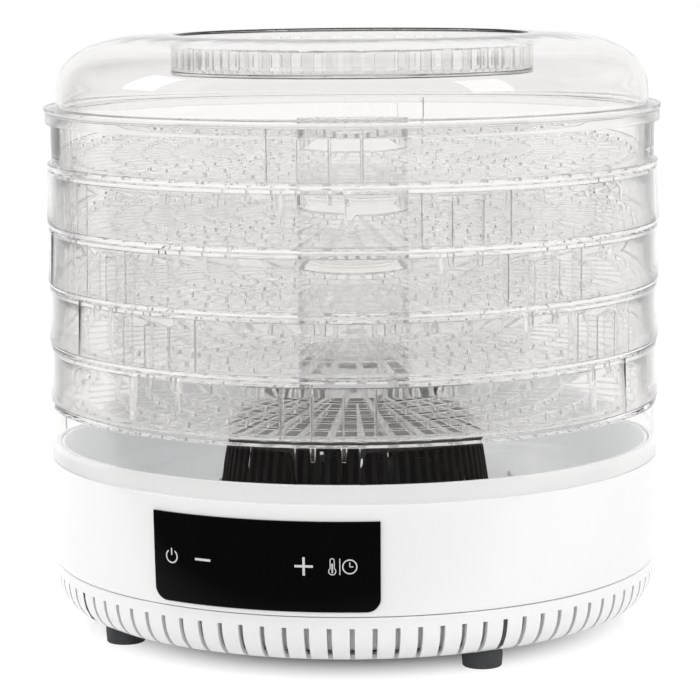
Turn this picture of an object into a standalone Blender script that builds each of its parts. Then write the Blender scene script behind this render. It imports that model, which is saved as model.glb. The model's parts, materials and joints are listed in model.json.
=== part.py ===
"""Round stacking food dehydrator: fan base, five clear trays and a vented lid.

Units are metres, +Z is up, the feet stand on z = 0 and the stack's axis is the Z axis.
Lengths below are written in millimetres times MM. Azimuths are in degrees, 0 is the
middle of the control panel (-Y) and they grow towards +X.
"""
import math

import bmesh
import bpy

MM = 0.001
GAP = 0.3 * MM

# Stack
SIDES = 48
TRAY_COUNT = 5
TRAY_PITCH = 31.5 * MM
LOWEST_FLOOR = 119.0 * MM
GROUP_AZIMUTHS = (9.9, 37.1, 53.3, 69.2, 12.0)

# One tray; heights are measured from the underside of its floor
FLOOR_THICK = 3.5 * MM
WALL_OUTER = 161.6 * MM
WALL_INNER = 159.6 * MM
WALL_TOP = 29.5 * MM
SKIRT_TOP_R = 163.7 * MM
SKIRT_LOW_R = 164.5 * MM
SKIRT_THICK = 1.8 * MM
SKIRT_DROP = 27.7 * MM
FLOOR_EDGE = 154.0 * MM
SPOKES = 12
SPOKE_HALF = 3.0 * MM
CELL_FIRST = 33.0 * MM
CELL_DEPTH = 26.0 * MM
RING_BAR = 5.0 * MM
CELL_ROWS = 4
COLLAR_OUTER = 30.0 * MM
COLLAR_INNER = 28.4 * MM
COLLAR_TOP = 21.5 * MM
RIB_STEP = 5.6
RIB_INNER = 153.8 * MM
RIB_HALF = 0.65 * MM
PIN_R = 156.6 * MM
PIN_HALF = 1.5 * MM
PIN_DROP = 8.0 * MM

# Lid
RIM_R = 165.0 * MM
RIM_LOW = 269.6 * MM
RIM_TOP = 278.2 * MM
LID_LEDGE = 274.8 * MM
LID_WALL_R = 158.3 * MM
LID_WALL_TOP = 284.0 * MM
LID_TOP = 315.8 * MM
LID_THICK = 2.0 * MM
WELL_R = 95.0 * MM
WELL_FLOOR = 297.7 * MM
WELL_SLOT = (300.0 * MM, 311.0 * MM)
DOME_POWER = 2.5

# Base
FOOT_R = 10.5 * MM
FOOT_CIRCLE = 139.0 * MM
FOOT_AZIMUTHS = (-44.0, 44.0, 136.0, -136.0)
BASE_LOW = 10.0 * MM
PARTING = 34.2 * MM
SHOULDER = 91.0 * MM
BASE_R = 164.4 * MM
BASE_LOW_R = 162.7 * MM
RING_TOP = 100.3 * MM
RING_R = 161.2 * MM
DECK = 70.0 * MM
DECK_THICK = 2.0 * MM
DECK_HOLE = 62.0 * MM
SLOT_HALF_DEG = 0.6
PANEL_HALF_DEG = 21.0
PANEL_LOW = 37.2 * MM
PANEL_TOP = 82.9 * MM
PANEL_PROUD = 1.2 * MM
PANEL_CORNER = 7.0 * MM
KEY_HEIGHT = 60.5 * MM
GLAND_AZIMUTH = 176.25

# Drive
SHAFT_R = 3.0 * MM
MOTOR_R = 27.0 * MM
MOTOR_LOW = 30.3 * MM
MOTOR_TOP = 60.0 * MM
FAN_R = 60.0 * MM
FAN_LOW = 76.0 * MM
PLATE_TOP = 12.7 * MM


def clear_scene():
    for obj in list(bpy.data.objects):
        bpy.data.objects.remove(obj, do_unlink=True)


def material(name, colour, roughness, metallic=0.0, transmission=0.0, coat=0.0):
    mat = bpy.data.materials.get(name)
    if mat:
        return mat
    mat = bpy.data.materials.new(name)
    mat.use_nodes = True
    shader = mat.node_tree.nodes["Principled BSDF"]
    shader.inputs["Base Color"].default_value = (*colour, 1.0)
    shader.inputs["Roughness"].default_value = roughness
    shader.inputs["Metallic"].default_value = metallic
    shader.inputs["Transmission Weight"].default_value = transmission
    shader.inputs["Coat Weight"].default_value = coat
    mat.diffuse_color = (*colour, 1.0)
    return mat


def clear_plastic():
    return material("clear_plastic", (0.93, 0.94, 0.95), 0.05, transmission=1.0)


def white_plastic():
    return material("white_plastic", (0.93, 0.93, 0.92), 0.12, coat=0.5)


def black_gloss():
    return material("black_gloss", (0.008, 0.008, 0.010), 0.06, coat=1.0)


def black_matte():
    return material("black_matte", (0.022, 0.020, 0.019), 0.45)


def dark_rubber():
    return material("dark_rubber", (0.055, 0.057, 0.060), 0.75)


def steel():
    return material("steel", (0.62, 0.62, 0.63), 0.35, metallic=1.0)


def heater_wire():
    return material("heater_wire", (0.30, 0.24, 0.20), 0.5, metallic=1.0)


def mica():
    return material("mica", (0.55, 0.47, 0.36), 0.6)


def circuit_green():
    return material("circuit_green", (0.03, 0.17, 0.08), 0.4)


def copper():
    return material("copper", (0.72, 0.35, 0.20), 0.4, metallic=1.0)


def polar(radius, azimuth, height):
    a = math.radians(azimuth)
    return (radius * math.sin(a), -radius * math.cos(a), height)


def face(bm, verts):
    """Add a face, leaving out repeated neighbours, where a profile meets the axis."""
    ring = [v for i, v in enumerate(verts) if v is not verts[i - 1]]
    if len(ring) > 2:
        bm.faces.new(ring)


def finish(name, bm, mat, sharp_deg=30.0):
    bmesh.ops.recalc_face_normals(bm, faces=bm.faces)
    mesh = bpy.data.meshes.new(name)
    bm.to_mesh(mesh)
    bm.free()
    mesh.materials.append(mat)
    mesh.shade_smooth()
    mesh.set_sharp_from_angle(angle=math.radians(sharp_deg))
    obj = bpy.data.objects.new(name, mesh)
    bpy.context.collection.objects.link(obj)
    return obj


def even_azimuths(count, start=0.0):
    return [start + 360.0 * i / count for i in range(count)]


def profile_rows(bm, profile, azimuths, centre=(0.0, 0.0)):
    """One row of vertices per azimuth; points on the axis are shared by all rows."""
    on_axis = {i: bm.verts.new((centre[0], centre[1], z)) for i, (r, z) in enumerate(profile) if r == 0}
    rows = []
    for azimuth in azimuths:
        row = []
        for i, (r, z) in enumerate(profile):
            x, y, z = polar(r, azimuth, z)
            row.append(on_axis[i] if i in on_axis else bm.verts.new((x + centre[0], y + centre[1], z)))
        rows.append(row)
    return rows


def turned(bm, profile, azimuths, windows=(), closed=True, centre=(0.0, 0.0)):
    """Turn a profile of (radius, height) points round the axis.

    A window is (first edge run, second edge run, columns): in those columns the two runs of
    profile edges are left out and the opening between them gets its four sides.
    """
    rows = profile_rows(bm, profile, azimuths, centre)
    count, points = len(azimuths), len(profile)
    left_out = {}
    for first, second, columns in windows:
        for column in columns:
            left_out.setdefault(column, set()).update(first + second)
    for j, row in enumerate(rows):
        following = rows[(j + 1) % count]
        for e in range(points if closed else points - 1):
            f = (e + 1) % points
            on_axis = profile[e][0] == 0 and profile[f][0] == 0
            if not on_axis and e not in left_out.get(j, ()):
                face(bm, [row[e], following[e], following[f], row[f]])
    for first, second, columns in windows:
        loop = first + [first[-1] + 1] + second + [second[-1] + 1]
        ends = ((first[-1] + 1, second[0]), (second[-1] + 1, first[0]))
        for j in columns:
            row, following = rows[j], rows[(j + 1) % count]
            for a, b in ends:
                face(bm, [row[a], following[a], following[b], row[b]])
            if (j - 1) % count not in columns:
                face(bm, [row[i] for i in loop])
            if (j + 1) % count not in columns:
                face(bm, [following[i] for i in loop])
    return rows


def turned_part(name, profile, mat, sides=SIDES, windows=(), centre=(0.0, 0.0)):
    bm = bmesh.new()
    turned(bm, profile, even_azimuths(sides), windows, centre=centre)
    return finish(name, bm, mat)


def ring_profile(inner, outer, low, high):
    return [(inner, low), (outer, low), (outer, high), (inner, high)]


def rod(bm, x, y, low, high, radius, sides):
    """An upright rod: a turned half outline that starts and ends on its own axis."""
    profile = [(0.0, high), (radius, high), (radius, low), (0.0, low)]
    turned(bm, profile, even_azimuths(sides), closed=False, centre=(x, y))


def block(bm, low, high):
    made = bmesh.ops.create_cube(bm, size=1.0)["verts"]
    for v in made:
        v.co = [low[i] + (v.co[i] + 0.5) * (high[i] - low[i]) for i in range(3)]
    return made


def rods(name, places, low, high, radius, mat, sides=8):
    """Equal upright rods or screw heads, one object for each place."""
    for number, (x, y) in enumerate(places, start=1):
        bm = bmesh.new()
        rod(bm, x, y, low, high, radius, sides)
        finish(f"{name}_{number}", bm, mat)


def circle_places(radius, azimuths):
    return [polar(radius, a, 0.0)[:2] for a in azimuths]


# ---------------------------------------------------------------- trays

def bar_point(bm, radius, spoke, side, height):
    """A point on one side of a spoke, whose bar keeps its width at every radius."""
    spread = math.degrees(math.asin(SPOKE_HALF / radius))
    return bm.verts.new(polar(radius, spoke * 360.0 / SPOKES + side * spread, height))


def tray_floor(bm, edge_top, edge_low, hub_top, hub_low, low):
    """The perforated floor between the hub's circles and the rim's circles of vertices."""
    levels = []
    for row in range(CELL_ROWS):
        start = CELL_FIRST + row * (CELL_DEPTH + RING_BAR)
        levels += [start, start + CELL_DEPTH]
    step = SIDES // SPOKES
    hub_step = len(hub_top) // SPOKES
    sheets = []
    for height, edge, hub in ((low + FLOOR_THICK, edge_top, hub_top), (low, edge_low, hub_low)):
        left = [[bar_point(bm, r, s, -1, height) for r in levels] for s in range(SPOKES)]
        right = [[bar_point(bm, r, s, 1, height) for r in levels] for s in range(SPOKES)]
        sheets.append((left, right))
        for s in range(SPOKES):
            n = (s + 1) % SPOKES
            for i in range(len(levels) - 1):
                face(bm, [left[s][i], right[s][i], right[s][i + 1], left[s][i + 1]])
                if i % 2:
                    face(bm, [right[s][i], left[n][i], left[n][i + 1], right[s][i + 1]])
            rim = [edge[(s * step + k) % SIDES] for k in range(-1, step)]
            face(bm, [left[s][-1], right[s][-1], rim[2], rim[1], rim[0]])
            face(bm, [right[s][-1], left[n][-1]] + rim[:1:-1])
            inner = [hub[(s * hub_step + k) % len(hub)] for k in range(hub_step + 1)]
            face(bm, [right[s][0], left[s][0], inner[0]])
            face(bm, [left[n][0], right[s][0]] + inner)
    (top_left, top_right), (low_left, low_right) = sheets
    for s in range(SPOKES):
        n = (s + 1) % SPOKES
        for i in range(0, len(levels), 2):
            corners = [(top_right[s][i], low_right[s][i]), (top_right[s][i + 1], low_right[s][i + 1]),
                       (top_left[n][i + 1], low_left[n][i + 1]), (top_left[n][i], low_left[n][i])]
            for k, (upper, lower) in enumerate(corners):
                other_upper, other_lower = corners[(k + 1) % 4]
                face(bm, [upper, other_upper, other_lower, lower])


def tray_body(bm, low):
    """Wall, shoulder and skirt as one turned outline, closed by the floor and the hub collar."""
    skirt_low = low - SKIRT_DROP
    outline = [
        (FLOOR_EDGE, low + FLOOR_THICK), (WALL_INNER, low + FLOOR_THICK), (WALL_INNER, low + WALL_TOP),
        (WALL_OUTER, low + WALL_TOP), (WALL_OUTER, low + FLOOR_THICK), (SKIRT_TOP_R, low + FLOOR_THICK),
        (SKIRT_LOW_R, skirt_low), (SKIRT_LOW_R - SKIRT_THICK, skirt_low), (SKIRT_TOP_R - SKIRT_THICK, low),
        (FLOOR_EDGE, low),
    ]
    rows = turned(bm, outline, even_azimuths(SIDES), closed=False)
    collar = [
        (COLLAR_OUTER, low + FLOOR_THICK), (COLLAR_OUTER, low + COLLAR_TOP),
        (COLLAR_INNER, low + COLLAR_TOP), (COLLAR_INNER, low),
    ]
    hub = turned(bm, collar, even_azimuths(2 * SPOKES), closed=False)
    tray_floor(bm, [r[0] for r in rows], [r[-1] for r in rows], [r[0] for r in hub], [r[-1] for r in hub], low)


def radial_block(bm, inner, outer, half_width, azimuth, low, high):
    """A block whose long side points away from the axis at this azimuth."""
    a = math.radians(azimuth)
    for v in block(bm, (-half_width, -outer, low), (half_width, -inner, high)):
        x, y, z = v.co
        v.co = (x * math.cos(a) - y * math.sin(a), x * math.sin(a) + y * math.cos(a), z)


def tray_ribs(name, low, group_azimuth):
    """Rib groups inside the wall and the pins under the floor, joined to the tray by a union."""
    bite = 1.0 * MM
    bm = bmesh.new()
    for quarter in range(4):
        centre = group_azimuth + 90.0 * quarter
        for side in (-1.5, 1.5):
            radial_block(bm, RIB_INNER, WALL_INNER + bite, RIB_HALF, centre + side * RIB_STEP,
                         low + FLOOR_THICK - bite, low + WALL_TOP - 0.6 * MM)
        for side in (-0.5, 0.5):
            radial_block(bm, PIN_R - PIN_HALF, PIN_R + PIN_HALF, PIN_HALF, centre + side * RIB_STEP,
                         low - PIN_DROP, low + bite)
    ribs = finish(name, bm, clear_plastic())
    ribs.hide_render = True
    ribs.display_type = "WIRE"
    return ribs


def tray(number):
    name = f"tray_{number}"
    low = LOWEST_FLOOR + (TRAY_COUNT - number) * TRAY_PITCH
    bm = bmesh.new()
    tray_body(bm, low)
    obj = finish(name, bm, clear_plastic())
    union = obj.modifiers.new("ribs", "BOOLEAN")
    union.operation = "UNION"
    union.solver = "EXACT"
    union.object = tray_ribs(f"{name}_ribs", low, GROUP_AZIMUTHS[number - 1])
    return obj


# ---------------------------------------------------------------- lid

def dome_points(shrink, steps=5):
    """A quarter superellipse from the top of the lid's wall to the lip of its well."""
    across = LID_WALL_R - WELL_R - LID_THICK - shrink
    rise = LID_TOP - LID_WALL_TOP - shrink
    points = []
    for i in range(steps + 1):
        t = 0.5 * math.pi * i / steps
        points.append((WELL_R + LID_THICK + across * math.cos(t) ** (2 / DOME_POWER),
                       LID_WALL_TOP + rise * math.sin(t) ** (2 / DOME_POWER)))
    points[-1] = (WELL_R + LID_THICK, LID_WALL_TOP + rise)
    return points


def lid():
    """The clear lid: a rim, a domed crown and a sunk well whose wall is cut by vent slots."""
    slot_low, slot_top = WELL_SLOT
    outer = WELL_R + LID_THICK
    outline = [
        (0.0, WELL_FLOOR), (WELL_R, WELL_FLOOR), (WELL_R, slot_low), (WELL_R, slot_top), (WELL_R, LID_TOP),
    ]
    outline += dome_points(0.0)[::-1]
    outline += [
        (LID_WALL_R, RIM_TOP), (RIM_R, RIM_TOP), (RIM_R, RIM_LOW), (RIM_R - LID_THICK, RIM_LOW),
        (RIM_R - LID_THICK, LID_LEDGE), (LID_WALL_R - LID_THICK, LID_LEDGE),
    ]
    outline += dome_points(LID_THICK)
    outer_run = len(outline)
    outline += [
        (outer, slot_top), (outer, slot_low), (outer, WELL_FLOOR - LID_THICK), (0.0, WELL_FLOOR - LID_THICK),
    ]
    windows = [([2], [outer_run], list(range(0, SIDES, 2)))]
    return turned_part("lid", outline, clear_plastic(), windows=windows)


# ---------------------------------------------------------------- base housing

def wall_radius(height):
    """The housing's outer radius, which widens a little from the parting line to the shoulder."""
    share = (height - PARTING) / (SHOULDER - PARTING)
    return BASE_LOW_R + (BASE_R - BASE_LOW_R) * share ** 0.6


def base_shell():
    """The white upper housing with its shoulder and the ring that the lowest tray fits round."""
    wall = 2.4 * MM
    heights = (PARTING + GAP, 42.0 * MM, 66.0 * MM, SHOULDER)
    outline = [(wall_radius(z), z) for z in heights]
    outline += [
        (RING_R, SHOULDER), (RING_R, RING_TOP), (RING_R - wall, RING_TOP), (RING_R - wall, SHOULDER - wall),
        (BASE_R - wall, SHOULDER - wall),
    ]
    outline += [(wall_radius(z) - wall, z) for z in heights[2::-1]]
    behind_panel = [SIDES - 2, SIDES - 1, 0, 1]
    behind_gland = [SIDES // 2 - 1]
    windows = [([1], [9], behind_panel), ([1], [9], behind_gland)]
    return turned_part("base_shell", outline, white_plastic(), windows=windows)


def slot_azimuths():
    """Every second vent slot, counted outwards from the feet's slots on either side."""
    half = [4.0 + 8.0 * i for i in range(11)] + [96.0 + 8.0 * i for i in range(11)]
    return sorted(half + [360.0 - a for a in half])


def base_skirt():
    """The lower housing: a wall that curves in to the bottom edge, cut by vent slots."""
    azimuths = []
    for a in slot_azimuths():
        azimuths += [a - SLOT_HALF_DEG, a + SLOT_HALF_DEG]
    outline = [
        (BASE_LOW_R, PARTING), (162.4 * MM, 28.6 * MM), (160.6 * MM, 20.0 * MM), (157.5 * MM, 14.0 * MM),
        (150.0 * MM, BASE_LOW), (146.0 * MM, BASE_LOW), (146.0 * MM, 12.4 * MM), (149.0 * MM, 12.4 * MM),
        (155.4 * MM, 15.6 * MM), (158.2 * MM, 21.0 * MM), (160.0 * MM, 28.6 * MM), (BASE_LOW_R - 2.4 * MM, PARTING),
    ]
    slots = list(range(0, len(azimuths), 2))
    bm = bmesh.new()
    turned(bm, outline, azimuths, [([1, 2, 3], [7, 8, 9], slots)])
    return finish("base_skirt", bm, white_plastic())


def bottom_plate():
    """The closing plate with rings of air intake slots under the motor."""
    low = PLATE_TOP - 2.5 * MM
    radii = [22.0 * MM, 36.0 * MM, 42.0 * MM, 56.0 * MM]
    top = [(0.0, PLATE_TOP)] + [(r, PLATE_TOP) for r in radii] + [(144.8 * MM, PLATE_TOP)]
    outline = top + [(r, low) for r, _ in top[::-1]]
    columns = [j for j in range(24) if j % 2 == 0]
    windows = [([1], [9], columns), ([3], [7], columns)]
    return turned_part("bottom_plate", outline, white_plastic(), sides=24, windows=windows)


def air_deck():
    """The white dish inside the ring, with the opening that the fan blows through."""
    low = DECK - DECK_THICK
    outline = [
        (DECK_HOLE, low), (150.0 * MM, low), (156.0 * MM, 73.0 * MM), (158.4 * MM, 99.8 * MM),
        (156.2 * MM, 99.8 * MM), (153.6 * MM, 74.0 * MM), (149.0 * MM, DECK), (DECK_HOLE + 2.0 * MM, DECK),
        (DECK_HOLE + 2.0 * MM, DECK + 3.0 * MM), (DECK_HOLE, DECK + 3.0 * MM),
    ]
    return turned_part("air_deck", outline, white_plastic())


def fan_guard():
    """The black basket over the fan: a flange, upright bars and a closed cap."""
    outline = [
        (0.0, 105.2 * MM), (66.5 * MM, 105.2 * MM), (68.4 * MM, 103.8 * MM), (68.8 * MM, 101.0 * MM),
        (72.9 * MM, 75.0 * MM), (74.0 * MM, 72.3 * MM), (79.0 * MM, 72.3 * MM), (79.0 * MM, DECK + GAP),
        (70.5 * MM, DECK + GAP), (70.9 * MM, 75.0 * MM), (66.8 * MM, 101.0 * MM), (66.4 * MM, 103.0 * MM),
        (0.0, 103.0 * MM),
    ]
    return turned_part("fan_guard", outline, black_matte(), windows=[([3], [9], list(range(0, SIDES, 2)))])


def foot(number, azimuth):
    """A short round foot with a bevelled lower edge."""
    x, y = circle_places(FOOT_CIRCLE, [azimuth])[0]
    high = BASE_LOW - GAP
    outline = [
        (0.0, high), (FOOT_R, high), (FOOT_R, 1.2 * MM), (FOOT_R - 1.2 * MM, 0.0), (0.0, 0.0),
    ]
    bm = bmesh.new()
    turned(bm, outline, even_azimuths(16), closed=False, centre=(x, y))
    return finish(f"foot_{number}", bm, dark_rubber())


def rubber_strip(number, azimuth):
    """The thin strip over a foot that fills one vent slot."""
    half = 1.1 * MM
    side = [
        (150.4, 10.4), (158.0, 14.2), (161.2, 20.0), (162.7, 28.2), (160.4, 28.2), (158.4, 20.8), (155.6, 15.4),
        (149.4, 12.2),
    ]
    a = math.radians(azimuth)
    bm = bmesh.new()
    ends = []
    for x in (-half, half):
        ends.append([bm.verts.new((x * math.cos(a) + r * MM * math.sin(a),
                                   x * math.sin(a) - r * MM * math.cos(a), z * MM)) for r, z in side])
    face(bm, ends[0])
    face(bm, ends[1])
    for i in range(len(side)):
        k = (i + 1) % len(side)
        face(bm, [ends[0][i], ends[1][i], ends[1][k], ends[0][k]])
    return finish(f"foot_strip_{number}", bm, dark_rubber())


# ---------------------------------------------------------------- controls

def control_panel():
    """A curved glossy window stuck on the housing, with two rounded lower corners."""
    bm = bmesh.new()
    corner_deg = math.degrees(PANEL_CORNER / BASE_R)
    azimuths = [-PANEL_HALF_DEG + corner_deg * (1 - math.cos(math.radians(15.0 * i))) for i in range(7)]
    azimuths += [-15.0, -7.5, 0.0]
    azimuths = azimuths + [-a for a in azimuths[-2::-1]]
    rows = []
    for azimuth in azimuths:
        inset = max(0.0, abs(azimuth) - (PANEL_HALF_DEG - corner_deg)) / corner_deg
        low = PANEL_LOW + PANEL_CORNER * (1 - math.sqrt(max(0.0, 1 - inset * inset)))
        heights = [low, 52.0 * MM, 66.0 * MM, PANEL_TOP]
        row = [bm.verts.new(polar(wall_radius(z) + PANEL_PROUD, azimuth, z)) for z in heights]
        row += [bm.verts.new(polar(wall_radius(z) + GAP, azimuth, z)) for z in reversed(heights)]
        rows.append(row)
    for row, following in zip(rows, rows[1:]):
        for i in range(len(row)):
            k = (i + 1) % len(row)
            face(bm, [row[i], following[i], following[k], row[k]])
    face(bm, rows[0])
    face(bm, rows[-1])
    return finish("control_panel", bm, black_gloss())


def box_part(name, low, high, mat):
    """A plain block between two corners given in millimetres."""
    bm = bmesh.new()
    block(bm, [v * MM for v in low], [v * MM for v in high])
    return finish(name, bm, mat)


def touch_film():
    """The curved sensor strip behind the touch keys, inside the housing wall."""
    bm = bmesh.new()
    rows = []
    for i in range(9):
        azimuth = PANEL_HALF_DEG * (i / 4.0 - 1.0)
        ends = [(160.2, KEY_HEIGHT - 7.0 * MM), (160.8, KEY_HEIGHT - 7.0 * MM), (160.8, KEY_HEIGHT + 7.0 * MM),
                (160.2, KEY_HEIGHT + 7.0 * MM)]
        rows.append([bm.verts.new(polar(r * MM, azimuth, z)) for r, z in ends])
    for row, following in zip(rows, rows[1:]):
        for i in range(4):
            face(bm, [row[i], following[i], following[(i + 1) % 4], row[(i + 1) % 4]])
    face(bm, rows[0])
    face(bm, rows[-1])
    return finish("touch_film", bm, copper())


# ---------------------------------------------------------------- drive and heater

def fan_impeller():
    """A disc with a hub and twelve radial vanes raised from its upper face."""
    azimuths = []
    for i in range(12):
        azimuths += [30.0 * i - 1.2, 30.0 * i + 1.2, 30.0 * i + 15.0]
    disc = FAN_LOW + 2.0 * MM
    hub_top = FAN_LOW + 16.0 * MM
    outline = [
        (3.3 * MM, FAN_LOW), (FAN_R, FAN_LOW), (FAN_R, disc), (58.0 * MM, disc), (34.0 * MM, disc),
        (14.0 * MM, disc), (12.5 * MM, hub_top), (3.3 * MM, hub_top),
    ]
    bm = bmesh.new()
    turned(bm, outline, azimuths)
    bmesh.ops.recalc_face_normals(bm, faces=bm.faces)
    vanes = []
    for f in bm.faces:
        x, y, z = f.calc_center_median()
        reach = math.hypot(x, y)
        off = (math.degrees(math.atan2(x, -y)) + 15.0) % 30.0 - 15.0
        if f.normal.z > 0.9 and 34.0 * MM < reach < 58.0 * MM and abs(off) < 1.2 and abs(z - disc) < 0.1 * MM:
            vanes.append(f)
    for made in bmesh.ops.extrude_discrete_faces(bm, faces=vanes)["faces"]:
        bmesh.ops.translate(bm, verts=made.verts, vec=(0.0, 0.0, 15.0 * MM))
    return finish("fan_impeller", bm, black_matte())


def heater_frame():
    """A mica sleeve round the motor with four arms that carry the coil."""
    low, high = 44.0 * MM, 60.0 * MM
    arm_half, arm_long = 1.2, 27.4 * MM
    azimuths = []
    for k in range(4):
        azimuths += [45.0 + 90.0 * k - arm_half, 45.0 + 90.0 * k + arm_half, 75.0 + 90.0 * k, 105.0 + 90.0 * k]
    bm = bmesh.new()
    turned(bm, ring_profile(30.0 * MM, 32.0 * MM, low, high), azimuths)
    bm.normal_update()
    arms = []
    for f in bm.faces:
        x, y, _ = f.calc_center_median()
        off = math.degrees(math.atan2(x, -y)) % 90.0 - 45.0
        if abs(off) < arm_half and math.hypot(x, y) > 31.8 * MM:
            arms.append(f)
    for made in bmesh.ops.extrude_discrete_faces(bm, faces=arms)["faces"]:
        x, y, _ = made.calc_center_median()
        reach = math.hypot(x, y)
        bmesh.ops.translate(bm, verts=made.verts, vec=(x / reach * arm_long, y / reach * arm_long, 0.0))
    return finish("heater_frame", bm, mica())


def heater_coil(number, radius):
    """One turn of resistance wire that lies on the mica arms."""
    wire, height = 1.1 * MM, 61.5 * MM
    corners = [math.radians(72.0 * k) for k in range(5)]
    outline = [(radius + wire * math.cos(c), height + wire * math.sin(c)) for c in corners]
    return turned_part(f"heater_coil_{number}", outline, heater_wire(), sides=24)


def motor_bracket():
    """A ring plate under the motor whose windows let the air through."""
    low, high = 28.0 * MM, 30.0 * MM
    radii = (12.0 * MM, 26.0 * MM, 44.0 * MM, 58.0 * MM)
    outline = [(r, low) for r in radii] + [(r, high) for r in radii[::-1]]
    columns = [j for j in range(24) if j % 4 != 0]
    return turned_part("motor_bracket", outline, steel(), sides=24, windows=[([1], [5], columns)])


def cord_gland():
    """The bush in the rear wall that the supply lead would enter by, with its through hole."""
    height, turn = 54.0 * MM, math.radians(GLAND_AZIMUTH - 180.0)
    bm = bmesh.new()
    turned(bm, ring_profile(3.4 * MM, 7.2 * MM, 157.0 * MM, 164.8 * MM), even_azimuths(16))
    for v in bm.verts:
        across, up, out = v.co
        v.co = (out * -math.sin(turn) + across * math.cos(turn), out * math.cos(turn) + across * math.sin(turn),
                up + height)
    return finish("cord_gland", bm, dark_rubber())


def drive_parts():
    turned_part("motor_shaft", [(0.0, 97.0 * MM), (SHAFT_R, 97.0 * MM), (SHAFT_R, 30.8 * MM), (0.0, 30.8 * MM)],
                steel(), sides=16)
    turned_part("fan_clip", ring_profile(3.3 * MM, 7.0 * MM, 92.3 * MM, 95.3 * MM), steel(), sides=16)
    turned_part("motor_body", ring_profile(6.4 * MM, MOTOR_R, MOTOR_LOW, MOTOR_TOP), steel(), sides=24)
    for number, low in enumerate((32.0 * MM, 53.0 * MM), start=1):
        turned_part(f"motor_bearing_{number}", ring_profile(3.3 * MM, 6.0 * MM, low, low + 5.0 * MM), steel(),
                    sides=16)
    turned_part("duct_ring", ring_profile(60.4 * MM, 61.6 * MM, 33.0 * MM, 67.6 * MM), steel(), sides=24)
    bracket_circle = circle_places(51.0 * MM, (0.0, 120.0, 240.0))
    rods("bracket_post", bracket_circle, PLATE_TOP + GAP, 28.0 * MM - GAP, 4.0 * MM, white_plastic())
    rods("bracket_screw", bracket_circle, 30.3 * MM, 32.0 * MM, 3.0 * MM, steel())


def base_internals():
    deck_circle = circle_places(120.0 * MM, (45.0, 135.0, 225.0, 315.0))
    guard_circle = circle_places(76.6 * MM, (0.0, 90.0, 180.0, 270.0))
    rods("deck_post", deck_circle, PLATE_TOP + GAP, DECK - DECK_THICK - GAP, 3.6 * MM, white_plastic())
    rods("base_screw", deck_circle, 8.2 * MM, PLATE_TOP - 2.5 * MM - GAP, 3.0 * MM, steel())
    rods("guard_screw", guard_circle, 72.6 * MM, 74.0 * MM, 1.9 * MM, steel())
    rods("temperature_sensor", circle_places(100.0 * MM, (135.0,)), DECK + GAP, 77.0 * MM, 2.2 * MM, steel())
    box_part("power_board", (-40, 84, 13.0), (40, 134, 14.6), circuit_green())
    box_part("transformer", (-30, 92, 14.9), (-6, 112, 32), black_matte())
    rods("capacitor", [(20.0 * MM, 104.0 * MM)], 14.9 * MM, 34.0 * MM, 7.0 * MM, black_matte())
    box_part("terminal_block", (52, 84, 13.0), (74, 98, 27), white_plastic())
    box_part("heater_terminal", (-9, 62.6, 46), (9, 69, 54), steel())
    box_part("thermal_fuse", (-6, 62.6, 58), (6, 66.6, 62), white_plastic())
    box_part("control_board", (-50, -149, 42), (50, -147.4, 66), circuit_green())
    box_part("display_module", (-16, -157, 47), (16, -149.4, 65.5), black_matte())


def main():
    clear_scene()
    base_skirt()
    bottom_plate()
    base_shell()
    air_deck()
    fan_guard()
    for number, azimuth in enumerate(FOOT_AZIMUTHS, start=1):
        foot(number, azimuth)
        rubber_strip(number, azimuth)
    control_panel()
    touch_film()
    cord_gland()
    fan_impeller()
    heater_frame()
    heater_coil(1, 39.0 * MM)
    heater_coil(2, 51.0 * MM)
    motor_bracket()
    drive_parts()
    base_internals()
    for number in range(TRAY_COUNT, 0, -1):
        tray(number)
    lid()


main()
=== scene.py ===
"""Looks for the round stacking food dehydrator, laid out as an add-on and run as a script.

Lengths are in metres. Sizes written as a number times MM are in millimetres. Azimuths are in
degrees, 0 is the middle of the control panel (-Y) and they grow towards +X.
"""
import json
import math

import bmesh
import bpy
import numpy as np
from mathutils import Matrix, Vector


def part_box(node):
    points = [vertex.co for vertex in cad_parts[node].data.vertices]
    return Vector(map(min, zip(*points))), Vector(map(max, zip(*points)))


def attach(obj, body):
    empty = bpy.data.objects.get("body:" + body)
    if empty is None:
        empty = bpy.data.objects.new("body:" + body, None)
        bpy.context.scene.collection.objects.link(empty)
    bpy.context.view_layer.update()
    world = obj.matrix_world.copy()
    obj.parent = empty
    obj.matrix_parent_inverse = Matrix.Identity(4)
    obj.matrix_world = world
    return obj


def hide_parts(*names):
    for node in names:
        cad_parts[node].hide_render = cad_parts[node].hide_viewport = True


bl_info = {
    "name": "Stacking Food Dehydrator",
    "version": (1, 0, 0),
    "blender": (4, 5, 0),
    "location": "View3D > Sidebar > Dehydrator",
    "description": "Builds the clear trays, the lid, the fan base and its stage round a packed frame",
    "category": "Add Mesh",
}

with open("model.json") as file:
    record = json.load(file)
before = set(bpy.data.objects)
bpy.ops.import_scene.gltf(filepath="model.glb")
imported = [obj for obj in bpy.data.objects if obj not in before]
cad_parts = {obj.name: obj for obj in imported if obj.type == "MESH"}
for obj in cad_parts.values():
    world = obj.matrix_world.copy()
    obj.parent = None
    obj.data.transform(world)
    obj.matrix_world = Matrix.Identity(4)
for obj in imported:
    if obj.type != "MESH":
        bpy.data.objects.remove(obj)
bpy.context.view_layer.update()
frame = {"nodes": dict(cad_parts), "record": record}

MM = 0.001
PANEL_LOW, PANEL_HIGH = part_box("control_panel")
LID_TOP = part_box("lid")[1].z
# Middle of the first rib group of each tray, from the top one down.
GROUP_AZIMUTHS = (9.9, 37.1, 53.3, 69.2, 12.0)
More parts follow.
